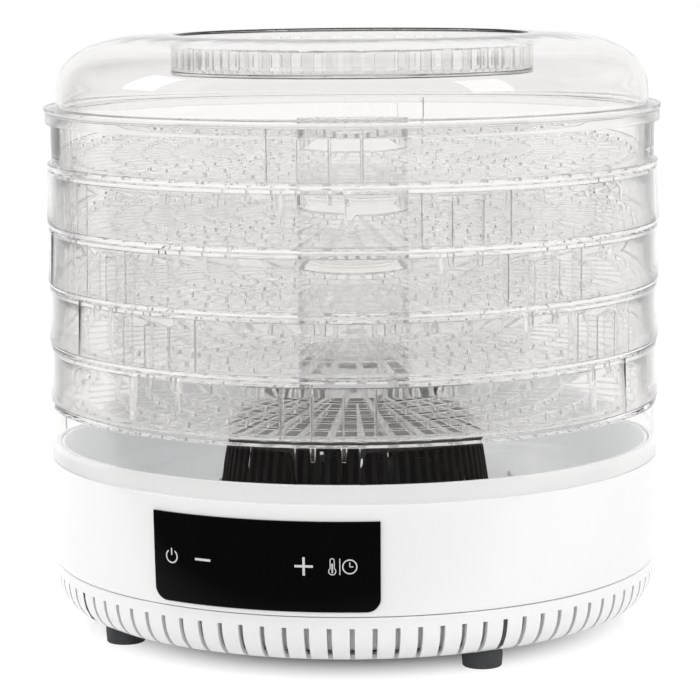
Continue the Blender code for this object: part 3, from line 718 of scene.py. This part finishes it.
def housing_shell(material):
    """The upper housing: outer wall, shoulder and ring, and the same 2.4 mm further in.

    The wall is open where the cord bush stands.
    """
    wall = 2.4 * MM
    heights = np.array([35.4, 38.0, 42.0, 48.0, 60.0, 66.0, 74.0, 82.0]) * MM
    outer = np.stack([wall_radius(heights), heights], axis=1)
    foot = softened(np.array([[161.4, 34.6], [162.6, 34.6], [162.8, 35.4]]) * MM, 0.5 * MM)[:-1]
    top = softened(np.array([[164.4, 86.0], [164.4, 91.0], [161.2, 91.0], [161.2, 100.3],
                             [160.0, 100.3]]) * MM, 0.7 * MM)
    front = np.concatenate([foot, outer, top])
    inner = np.stack([wall_radius(heights) - wall, heights], axis=1)
    foot_in = stretched([[161.4 * MM, 34.6 * MM], [160.4 * MM, 34.6 * MM]], len(foot))
    top_in = stretched(softened(np.array([[162.0, 86.0], [162.0, 88.6], [158.8, 88.6], [158.8, 100.3],
                                          [160.0, 100.3]]) * MM, 0.4 * MM), len(top))
    back = np.concatenate([foot_in, inner, top_in])
    hole_edges = [BUSH_AZIMUTH - 1.95, BUSH_AZIMUTH + 1.95]
    azimuths = np.sort(np.concatenate([slot_lines(180, 0.0), hole_edges]))
    kept = every_cell(azimuths, front)
    beside = np.abs(middles(azimuths) - BUSH_AZIMUTH) < 1.96
    reach = 6.1 * MM
    level = (front[:-1, 1] > BUSH_HEIGHT - reach) & (front[1:, 1] < BUSH_HEIGHT + reach)
    kept[np.ix_(beside, level & (front[:-1, 0] > 162.0 * MM))] = False
    return turned_body("housing_shell", azimuths, front, back, material, kept)


def housing_skirt(sizes, material):
    """The lower housing, curved inwards below and cut by slots that are open at its lower edge.

    Under the lip, r = 148 + 14.55 cos(t)^0.9 and z = 28.6 - 18.6 sin(t)^1.05 in millimetres, for
    t from 0 to 90 degrees. The inside is the same curve with smaller reaches.
    """
    pitch = 360.0 / sizes.vents
    half = math.degrees(0.5 * sizes.vent_width / (160.0 * MM))
    azimuths = slot_lines(sizes.vents, -half, half, pitch / 2)
    t = np.linspace(0.0, 0.5 * math.pi, 11)
    slot_top = 28.6 * MM
    lip = softened(np.array([[161.2, 34.2], [162.5, 34.2], [162.7, 33.0], [162.7, 30.5]]) * MM, 0.5 * MM)
    curve = np.stack([148.0 * MM + 14.55 * MM * np.cos(t) ** 0.9,
                      slot_top - 18.6 * MM * np.sin(t) ** 1.05], axis=1)
    ledge = np.array([[147.2, 10.0], [146.6, 10.6], [146.4, 11.2]]) * MM
    front = np.concatenate([lip, curve, ledge])
    lip_in = stretched([[161.2 * MM, 34.2 * MM], [160.3 * MM, 34.0 * MM], [160.3 * MM, 30.5 * MM]], len(lip))
    curve_in = np.stack([147.6 * MM + 12.5 * MM * np.cos(t) ** 0.9,
                         slot_top - 16.2 * MM * np.sin(t) ** 1.05], axis=1)
    ledge_in = np.array([[147.2, 12.4], [146.6, 11.8], [146.4, 11.2]]) * MM
    back = np.concatenate([lip_in, curve_in, ledge_in])
    in_slot = np.abs(off_centre(middles(azimuths), 0.0, pitch)) < half
    kept = every_cell(azimuths, front)
    kept[np.ix_(in_slot, np.arange(len(lip), len(lip) + len(t) - 2))] = False
    return turned_body("housing_skirt", azimuths, front, back, material, kept)


def vent_apron(material):
    """A 1 mm inner wall behind the slots, which hides the motor room.

    It is the lower housing's curve again, about 3 mm inside its inner face.
    """
    t = np.linspace(0.0, 0.45 * math.pi, 9)
    out = np.stack([146.0 * MM + 11.0 * MM * np.cos(t) ** 0.9,
                    28.4 * MM - 14.4 * MM * np.sin(t) ** 1.05], axis=1)
    inward = out - np.array([1.0 * MM, 0.0])
    return turned_body("vent_apron", slot_lines(120, 0.0), out, inward, material)


def base_cover(material):
    """The closing plate, with two rings of intake slots under the motor."""
    azimuths = slot_lines(144, 0.0)
    radii = np.array([0.0, 10.0, 20.0, 36.0, 40.0, 56.0, 60.0, 100.0, 143.6, 144.4, 144.6]) * MM
    low, high = (corner.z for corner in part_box("bottom_plate"))
    edge, middle = 0.5 * MM, 0.5 * (low + high)
    down, up = np.full(len(radii), low), np.full(len(radii), high)
    down[-2:] = low + edge, middle
    up[-2:] = high - edge, middle
    kept = every_cell(azimuths, radii)
    open_column = (np.arange(len(azimuths)) % 4) < 2
    intake_rows = [2, 4]
    kept[np.ix_(open_column, intake_rows)] = False
    down, up = np.stack([radii, down], axis=1), np.stack([radii, up], axis=1)
    return turned_body("base_cover", azimuths, down, up, material, kept)


def deck_dish(material):
    """The dish inside the ring: a lip round the fan opening, a flat floor and a rising wall."""
    lip = softened(np.array([[62.0, 71.5], [62.0, 73.0], [64.0, 73.0], [64.2, 70.0], [90.0, 70.0]]) * MM,
                   0.6 * MM)
    wall = softened(np.array([[120.0, 70.0], [148.0, 70.0], [154.0, 75.0], [156.6, 99.8],
                              [157.5, 99.8]]) * MM, 3.0 * MM, 6)
    lip_under = stretched(np.array([[62.0, 71.5], [62.0, 68.0], [90.0, 68.0]]) * MM, len(lip))
    wall_under = softened(np.array([[120.0, 68.0], [149.0, 68.0], [155.6, 73.4], [158.3, 99.8],
                                    [157.5, 99.8]]) * MM, 3.0 * MM, 6)
    top, under = np.concatenate([lip, wall]), np.concatenate([lip_under, wall_under])
    return turned_body("deck_dish", slot_lines(180, 0.0), top, under, material)


def guard_basket(bars, material):
    """The guard: a cap and a flange turned round the axis, with upright bars between them.

    The row of cells between cap and flange is kept only at the bars.
    """
    pitch = 360.0 / bars
    bar_half = pitch * 0.2
    azimuths = slot_lines(bars, -bar_half, 0.0, bar_half)
    cap = softened(np.array([[0.0, 105.2], [40.0, 105.2], [66.0, 105.2], [68.6, 103.4],
                             [68.8, 101.0]]) * MM, 1.0 * MM)
    flange = softened(np.array([[72.9, 75.0], [73.3, 72.5], [78.6, 72.3], [79.0, 70.3],
                                [75.0, 70.3]]) * MM, 0.6 * MM)
    cap_in = np.array([[0.0, 103.0], [40.0, 103.0], [64.0, 103.0], [66.4, 102.4], [66.8, 101.0]]) * MM
    flange_in = np.array([[70.9, 75.0], [71.0, 70.3], [75.0, 70.3]]) * MM
    outer = np.concatenate([cap, flange])
    inner = np.concatenate([stretched(cap_in, len(cap)), stretched(flange_in, len(flange))])
    kept = every_cell(azimuths, outer)
    open_column = np.abs(off_centre(middles(azimuths), 0.0, pitch)) > bar_half
    kept[open_column, len(cap) - 1] = False
    return turned_body("guard_basket", azimuths, outer, inner, material, kept)


class DEHYDRATOR_OT_housing(bpy.types.Operator):
    """Build the white base: upper housing, slotted lower housing, closing plate and dish"""
    bl_idname = "dehydrator.housing"
    bl_label = "Base Housing"

    def execute(self, context):
        white = white_plastic()
        belongs(housing_shell(white), "base", "white_plastic", "base_shell")
        belongs(housing_skirt(context.scene.dehydrator_sizes, white), "base", "white_plastic", "base_skirt")
        belongs(vent_apron(white), "base", "white_plastic")
        belongs(base_cover(white), "base", "white_plastic", "bottom_plate")
        belongs(deck_dish(white), "base", "white_plastic", "air_deck")
        return {"FINISHED"}


class DEHYDRATOR_OT_guard(bpy.types.Operator):
    """Build the black fan guard with its upright bars"""
    bl_idname = "dehydrator.guard"
    bl_label = "Fan Guard"

    def execute(self, context):
        basket = guard_basket(context.scene.dehydrator_sizes.guard_bars, guard_black())
        belongs(basket, "base", "black_matte", "fan_guard")
        return {"FINISHED"}


# ------------------------------------------------------------------ panel and icons

PANEL_HALF_DEG = 21.0
PANEL_STAND = 1.2 * MM
KEY_HEIGHT = 60.5 * MM
POWER_AT, MINUS_AT, PLUS_AT = -17.1, -10.7, 7.8
THERMOMETER_AT, DIVIDER_AT, CLOCK_AT = 12.7, 14.0, 15.7


def touch_panel(material):
    """A sheet that follows the housing 1.2 mm proud of it; its lower corners are quarter circles."""
    corner = 7.0 * MM
    corner_deg = math.degrees(corner / (164.4 * MM))
    turn = np.radians(np.linspace(0.0, 90.0, 10))
    left = -PANEL_HALF_DEG + corner_deg * (1 - np.cos(turn))
    straight = np.linspace(left[-1], -left[-1], 24)[1:-1]
    azimuths = np.concatenate([left, straight, -left[::-1]])
    inset = np.clip(np.abs(azimuths) - (PANEL_HALF_DEG - corner_deg), 0.0, None) / corner_deg
    bottom = PANEL_LOW.z + corner * (1 - np.sqrt(np.clip(1 - inset ** 2, 0.0, 1.0)))
    edge = 0.35 * MM
    share = np.array([0.0, 0.02, 0.2, 0.4, 0.6, 0.8, 0.98, 1.0])
    heights = bottom[:, None] + (PANEL_HIGH.z - bottom)[:, None] * share
    heights[:, 1] = heights[:, 0] + edge
    heights[:, -2] = heights[:, -1] - edge
    stand = np.full(heights.shape, PANEL_STAND)
    stand[:, [0, -1]] -= edge
    stand[[0, -1], :] = PANEL_STAND - edge
    front = on_circle(azimuths, wall_radius(heights) + stand, heights)
    back = on_circle(azimuths, wall_radius(heights) + 0.1 * MM, heights)
    return walled_piece("touch_panel", front, back, material, around=False)


def stroke(name, path, width, azimuth, closed=False, height=KEY_HEIGHT):
    """A printed line: the path's points moved half a width to each side and wrapped on the panel.

    The path is in metres across and up from the icon's middle. Across becomes azimuth by arc
    length, up becomes height, and the print stands 0.08 mm on the panel.
    """
    p = np.asarray(path, float)
    ahead, behind = np.roll(p, -1, axis=0), np.roll(p, 1, axis=0)
    if not closed:
        ahead[-1], behind[0] = p[-1], p[0]
    along = ahead - behind
    along /= np.linalg.norm(along, axis=1, keepdims=True)
    normal = np.stack([-along[:, 1], along[:, 0]], axis=1)
    both = p[:, None] + normal[:, None] * np.array([-0.5, 0.5])[None, :, None] * width
    radius = wall_radius(height + both[..., 1]) + PANEL_STAND
    angle = np.radians(azimuth) + both[..., 0] / radius
    grids = []
    for lift in (0.08 * MM, -0.1 * MM):
        r = radius + lift
        grids.append(np.stack([r * np.sin(angle), -r * np.cos(angle), height + both[..., 1]], axis=-1))
    piece = walled_piece(name, grids[0], grids[1], icon_print(), around=closed)
    return belongs(piece, "base", "white_plastic")


def arc(radius, start, stop, count=40, centre=(0.0, 0.0)):
    """Points on a circle from one angle to another, in degrees from the right, turning left."""
    t = np.radians(np.linspace(start, stop, count))
    return np.stack([centre[0] + radius * np.cos(t), centre[1] + radius * np.sin(t)], axis=1)


class DEHYDRATOR_OT_panel(bpy.types.Operator):
    """Build the curved touch panel and its printed icons"""
    bl_idname = "dehydrator.panel"
    bl_label = "Touch Panel"

    def execute(self, context):
        belongs(touch_panel(panel_black()), "base", "black_gloss", "control_panel")
        hair, fine, bold = 0.45 * MM, 0.7 * MM, 1.2 * MM
        stroke("icon_power_ring", arc(3.3 * MM, 125.0, 415.0), fine, POWER_AT)
        stroke("icon_power_bar", [[0, 0.6 * MM], [0, 4.2 * MM]], fine, POWER_AT)
        stroke("icon_minus", [[-4.4 * MM, 0], [4.4 * MM, 0]], bold, MINUS_AT)
        stroke("icon_plus_bar", [[-4.6 * MM, 0], [4.6 * MM, 0]], bold, PLUS_AT)
        stroke("icon_plus_up", [[0, 0.65 * MM], [0, 4.6 * MM]], bold, PLUS_AT)
        stroke("icon_plus_down", [[0, -4.6 * MM], [0, -0.65 * MM]], bold, PLUS_AT)
        bulb = arc(1.75 * MM, 125.0, 415.0, 24, (0.0, -2.3 * MM))
        stem = arc(1.0 * MM, 0.0, 180.0, 10, (0.0, 3.1 * MM))
        stroke("icon_thermometer", np.concatenate([bulb, stem]), hair, THERMOMETER_AT, closed=True)
        stroke("icon_thermometer_level", [[0, -3.2 * MM], [0, 1.6 * MM]], fine, THERMOMETER_AT)
        stroke("icon_divider", [[0, -4.1 * MM], [0, 4.1 * MM]], hair, DIVIDER_AT)
        stroke("icon_clock_ring", arc(3.45 * MM, 0.0, 355.0, 48), 0.6 * MM, CLOCK_AT, closed=True)
        stroke("icon_clock_hand", [[0, 2.2 * MM], [0, 0.0], [1.7 * MM, 0.0]], 0.55 * MM, CLOCK_AT)
        return {"FINISHED"}


# ------------------------------------------------------------------ feet, bush, inner parts

def centre_of(low, high):
    """The middle of a box, seen from above."""
    return (0.5 * (low.x + high.x), 0.5 * (low.y + high.y))


def foot_profile(top):
    """Half a foot from its top down its side, under the rim and into the shallow cup below."""
    cup = 0.5 * MM
    side = softened(np.array([[6.0, 9.7], [10.3, 9.7], [10.5, 6.0], [10.0, 0.0], [8.0, 0.0],
                              [7.6, 0.5], [5.0, 0.5]]) * MM, 0.7 * MM)
    return np.concatenate([[[0.0, top]], side, [[0.0, cup]]])


def cord_bush(material):
    """A sleeve with a collar, turned round its own axis and laid outwards through the wall.

    The profiles hold the radius round the sleeve's axis and the distance from the stack's axis.
    Out is that distance along the bush's azimuth, across is at a right angle to it.
    """
    azimuth = math.radians(BUSH_AZIMUTH)
    bore = np.array([[3.4, 157.0], [3.4, 164.0], [4.2, 164.8], [8.2, 164.85]]) * MM
    sleeve = np.array([[5.2, 157.0], [4.3, 157.0], [5.2, 163.9], [5.4, 164.1], [9.0, 164.1], [9.0, 164.4],
                       [8.2, 164.85]]) * MM
    grids = []
    for profile in (bore, sleeve):
        grid = turned(slot_lines(40, 0.0), stretched(profile, 8))
        across, up, out = grid[..., 0], grid[..., 1], grid[..., 2]
        grids.append(np.stack([out * math.sin(azimuth) + across * math.cos(azimuth),
                               -out * math.cos(azimuth) + across * math.sin(azimuth),
                               up + BUSH_HEIGHT], axis=-1))
    return walled_piece("cord_bush", grids[0], grids[1], material)


class DEHYDRATOR_OT_feet(bpy.types.Operator):
    """Build the four rubber feet"""
    bl_idname = "dehydrator.feet"
    bl_label = "Rubber Feet"

    def execute(self, context):
        rubber = foot_rubber()
        for number in range(1, 5):
            low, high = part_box(f"foot_{number}")
            piece = turned_piece(f"foot_pad_{number}", foot_profile(high.z), rubber, 40, centre_of(low, high))
            belongs(piece, "base", "dark_rubber", f"foot_{number}")
        return {"FINISHED"}


class DEHYDRATOR_OT_bush(bpy.types.Operator):
    """Build the cord bush in the rear wall"""
    bl_idname = "dehydrator.bush"
    bl_label = "Cord Bush"

    def execute(self, context):
        belongs(cord_bush(foot_rubber()), "base", "dark_rubber", "cord_gland")
        return {"FINISHED"}


class DEHYDRATOR_OT_inner_parts(bpy.types.Operator):
    """Build the sensor's bead and give the drive, heater, boards, screws and foot strips their finishes"""
    bl_idname = "dehydrator.inner_parts"
    bl_label = "Inner Parts"

    def execute(self, context):
        finishes = inner_finishes()
        low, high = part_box("temperature_sensor_1")
        bead = softened(np.array([[0.0, 2.0], [1.9, 1.9], [2.2, 0.9], [2.2, 0.0], [0.0, 0.0]]) * MM, 0.4 * MM)
        bead[:, 1] += low.z
        bead = turned_piece("sensor_bead", bead, white_plastic(), 24, centre_of(low, high))
        belongs(bead, "base", "steel", "temperature_sensor_1")
        slots = {part["node"]: part["material_slot"] for part in frame["record"]["subparts"]}
        for name, part in frame["nodes"].items():
            finish = finishes.get(slots[name])
            if part.hide_render or finish is None:
                continue
            part.data.materials.clear()
            part.data.materials.append(finish)
        return {"FINISHED"}


# ------------------------------------------------------------------ stage

# Name, place, height aimed at on the stack's axis, size, watts, seen in mirrors.
LIGHTS = (
    ("left_box", (-1.5, -1.1, 0.8), 0.10, (1.2, 1.5), 9.5, False),
    ("right_box", (1.6, -0.9, 0.8), 0.10, (1.2, 1.5), 9.5, False),
    ("front_box", (0.3, -1.9, 0.7), 0.06, (1.2, 0.8), 2.0, False),
    ("top_box", (0.0, 0.1, 2.2), 0.0, (1.5, 1.5), 7.5, False),
    ("left_glow", (-1.4, -0.5, 1.05), 0.28, (0.5, 0.8), 6.0, True),
    ("right_glow", (1.4, -0.5, 1.05), 0.28, (0.5, 0.8), 6.0, True),
)


def area_light(name, place, aim_height, size, power, mirrored):
    """A rectangular soft box aimed at a point on the stack's axis, and never seen through glass."""
    data = bpy.data.lights.new(name, "AREA")
    data.shape = "RECTANGLE"
    data.size, data.size_y = size
    data.energy = power
    lamp = bpy.data.objects.new(name, data)
    bpy.context.scene.collection.objects.link(lamp)
    lamp.visible_glossy = mirrored
    lamp.visible_transmission = False
    direction = np.array([0.0, 0.0, aim_height]) - np.array(place)
    lamp.location = place
    flat = math.hypot(direction[0], direction[1])
    heading = math.atan2(direction[1], direction[0])
    lamp.rotation_euler = (math.atan2(flat, -direction[2]), 0.0, heading - math.pi / 2)


def studio_world():
    """A white wall behind the object and a grey room at its sides and in front.

    The direction's Y runs through a colour ramp; the camera itself sees white everywhere.
    """
    world = bpy.data.worlds.new("studio")
    world.use_nodes = True
    tree = world.node_tree
    link = tree.links.new
    background = tree.nodes["Background"]
    place = node(tree, "ShaderNodeTexCoord")
    parts = node(tree, "ShaderNodeSeparateXYZ")
    shift = node(tree, "ShaderNodeMapRange", {"From Min": -1.0, "From Max": 1.0})
    ramp = node(tree, "ShaderNodeValToRGB")
    stops = ((0.0, look().room_front), (0.55, look().room_side), (0.74, 0.45), (0.86, 1.0))
    while len(ramp.color_ramp.elements) < len(stops):
        ramp.color_ramp.elements.new(0.5)
    for element, (position, value) in zip(ramp.color_ramp.elements, stops):
        element.position = position
        element.color = (value, value, value, 1.0)
    path = node(tree, "ShaderNodeLightPath")
    pick = node(tree, "ShaderNodeMix", {MIX_B: (1.0, 1.0, 1.0, 1.0)}, data_type="RGBA")
    link(place.outputs["Generated"], parts.inputs["Vector"])
    link(parts.outputs["Y"], shift.inputs["Value"])
    link(shift.outputs["Result"], ramp.inputs["Fac"])
    link(path.outputs["Is Camera Ray"], pick.inputs[MIX_FACTOR])
    link(ramp.outputs["Color"], pick.inputs[MIX_A])
    link(pick.outputs[MIX_RESULT], background.inputs["Color"])
    background.inputs["Strength"].default_value = 1.0
    return world


def stage_paper():
    """Pale glossy paper that turns into an evenly white ground away from the object.

    The share of white is a smooth step of the distance from the middle, and it is 0 for light
    that comes by way of matt surfaces. In mirrors and through glass the ground in front of the
    object is dark.
    """
    paper = finish_material("stage_paper", tuple(look().floor), shade(look().floor, 0.99), (0.10, 0.16),
                            grain=(60.0, 0.02, 0.0005), broad=1.5)
    paper.cycles.emission_sampling = "NONE"
    tree = paper.node_tree
    link = tree.links.new
    shader = tree.nodes["Principled BSDF"]
    place = node(tree, "ShaderNodeTexCoord")
    length = node(tree, "ShaderNodeVectorMath", operation="LENGTH")
    paper_end, white_start, most_white = 0.10, 0.168, 0.94
    share = node(tree, "ShaderNodeMapRange",
                 {"From Min": paper_end, "From Max": white_start, "To Max": most_white},
                 interpolation_type="SMOOTHSTEP")
    path = node(tree, "ShaderNodeLightPath")
    seen = node(tree, "ShaderNodeMath", {0: 1.0}, operation="SUBTRACT")
    level = node(tree, "ShaderNodeMath", operation="MULTIPLY")
    white = node(tree, "ShaderNodeEmission", {"Color": (1.0, 1.0, 1.0, 1.0), "Strength": 1.12})
    dim = node(tree, "ShaderNodeBsdfDiffuse", {"Color": (0.10, 0.10, 0.10, 1.0)})
    parts = node(tree, "ShaderNodeSeparateXYZ")
    dark_from, light_from = -0.30, -0.18
    front = node(tree, "ShaderNodeMapRange",
                 {"From Min": dark_from, "From Max": light_from, "To Min": 1.0, "To Max": 0.0})
    shaded = node(tree, "ShaderNodeMath", operation="MULTIPLY")
    blended, mirrored = node(tree, "ShaderNodeMixShader"), node(tree, "ShaderNodeMixShader")
    link(place.outputs["Object"], length.inputs[0])
    link(length.outputs["Value"], share.inputs["Value"])
    link(path.outputs["Is Diffuse Ray"], seen.inputs[1])
    link(seen.outputs["Value"], level.inputs[0])
    link(share.outputs["Result"], level.inputs[1])
    link(level.outputs["Value"], blended.inputs["Fac"])
    link(shader.outputs["BSDF"], blended.inputs[1])
    link(white.outputs["Emission"], blended.inputs[2])
    link(place.outputs["Object"], parts.inputs["Vector"])
    link(parts.outputs["Y"], front.inputs["Value"])
    link(path.outputs["Is Glossy Ray"], shaded.inputs[0])
    link(front.outputs["Result"], shaded.inputs[1])
    link(shaded.outputs["Value"], mirrored.inputs["Fac"])
    link(blended.outputs["Shader"], mirrored.inputs[1])
    link(dim.outputs["BSDF"], mirrored.inputs[2])
    link(mirrored.outputs["Shader"], tree.nodes["Material Output"].inputs["Surface"])
    return paper


def camera():
    """A long lens 1.5 m away, 16.7 degrees round from the panel's middle, 8.2 degrees down."""
    azimuth, tilt, roll = math.radians(16.7), math.radians(90.0 - 8.19), math.radians(-0.45)
    away, height = 1.494, 0.359
    data = bpy.data.cameras.new("camera")
    data.lens = 142.7
    data.sensor_width = 36.0
    data.shift_x = -0.0057
    data.clip_end = 50.0
    made = bpy.data.objects.new("camera", data)
    bpy.context.scene.collection.objects.link(made)
    made.location = (away * math.sin(azimuth), -away * math.cos(azimuth), height)
    turn = (Matrix.Rotation(azimuth, 4, "Z") @ Matrix.Rotation(tilt, 4, "X")
            @ Matrix.Rotation(roll, 4, "Z"))
    made.rotation_euler = turn.to_euler()
    bpy.context.scene.camera = made


class DEHYDRATOR_OT_stage(bpy.types.Operator):
    """Build the floor, the lights, the world and the camera"""
    bl_idname = "dehydrator.stage"
    bl_label = "Stage"

    def execute(self, context):
        scene = context.scene
        half, thick = 4.0, 0.02
        line = np.linspace(-half, half, 9)
        x, y = np.meshgrid(line, line, indexing="ij")
        top = np.stack([x, y, np.zeros_like(x)], axis=-1)
        low = top - np.array([0.0, 0.0, thick])
        walled_piece("stage_floor", top, low, stage_paper(), around=False)
        scene.world = studio_world()
        for light in LIGHTS:
            area_light(*light)
        camera()
        scene.view_settings.view_transform = "Standard"
        scene.cycles.max_bounces = 40
        scene.cycles.transmission_bounces = 40
        scene.cycles.transparent_max_bounces = 48
        scene.cycles.diffuse_bounces = 4
        scene.cycles.glossy_bounces = 8
        scene.cycles.caustics_reflective = False
        scene.cycles.caustics_refractive = False
        scene.cycles.use_denoising = True
        return {"FINISHED"}


class DEHYDRATOR_PT_panel(bpy.types.Panel):
    """Lists the dehydrator's sizes, finishes and operators"""
    bl_label = "Food Dehydrator"
    bl_idname = "DEHYDRATOR_PT_panel"
    bl_space_type = "VIEW_3D"
    bl_region_type = "UI"
    bl_category = "Dehydrator"

    def draw(self, context):
        for group in (context.scene.dehydrator_sizes, context.scene.dehydrator_finish):
            box = self.layout.box()
            for name in group.__annotations__:
                box.prop(group, name)
        for operator in OPERATORS:
            self.layout.operator(operator.bl_idname)


OPERATORS = (DEHYDRATOR_OT_trays, DEHYDRATOR_OT_lid, DEHYDRATOR_OT_housing, DEHYDRATOR_OT_guard,
             DEHYDRATOR_OT_panel, DEHYDRATOR_OT_feet, DEHYDRATOR_OT_bush, DEHYDRATOR_OT_inner_parts,
             DEHYDRATOR_OT_stage)
CLASSES = (DehydratorSizes, DehydratorFinish) + OPERATORS + (DEHYDRATOR_PT_panel,)


def register():
    """Add the classes, and the scene's sizes and finishes."""
    for cls in CLASSES:
        bpy.utils.register_class(cls)
    bpy.types.Scene.dehydrator_sizes = bpy.props.PointerProperty(type=DehydratorSizes)
    bpy.types.Scene.dehydrator_finish = bpy.props.PointerProperty(type=DehydratorFinish)


def unregister():
    """Take away what register added."""
    del bpy.types.Scene.dehydrator_finish
    del bpy.types.Scene.dehydrator_sizes
    for cls in reversed(CLASSES):
        bpy.utils.unregister_class(cls)


def plain(box):
    """The corners of a box as lists of numbers."""
    return [[float(value) for value in corner] for corner in box]


def main():
    """Build every piece and the stage."""
    register()
    bpy.ops.dehydrator.trays()
    bpy.ops.dehydrator.lid()
    bpy.ops.dehydrator.housing()
    bpy.ops.dehydrator.guard()
    bpy.ops.dehydrator.panel()
    bpy.ops.dehydrator.feet()
    bpy.ops.dehydrator.bush()
    bpy.ops.dehydrator.inner_parts()
    bpy.ops.dehydrator.stage()


if __name__ == "__main__":
    main()
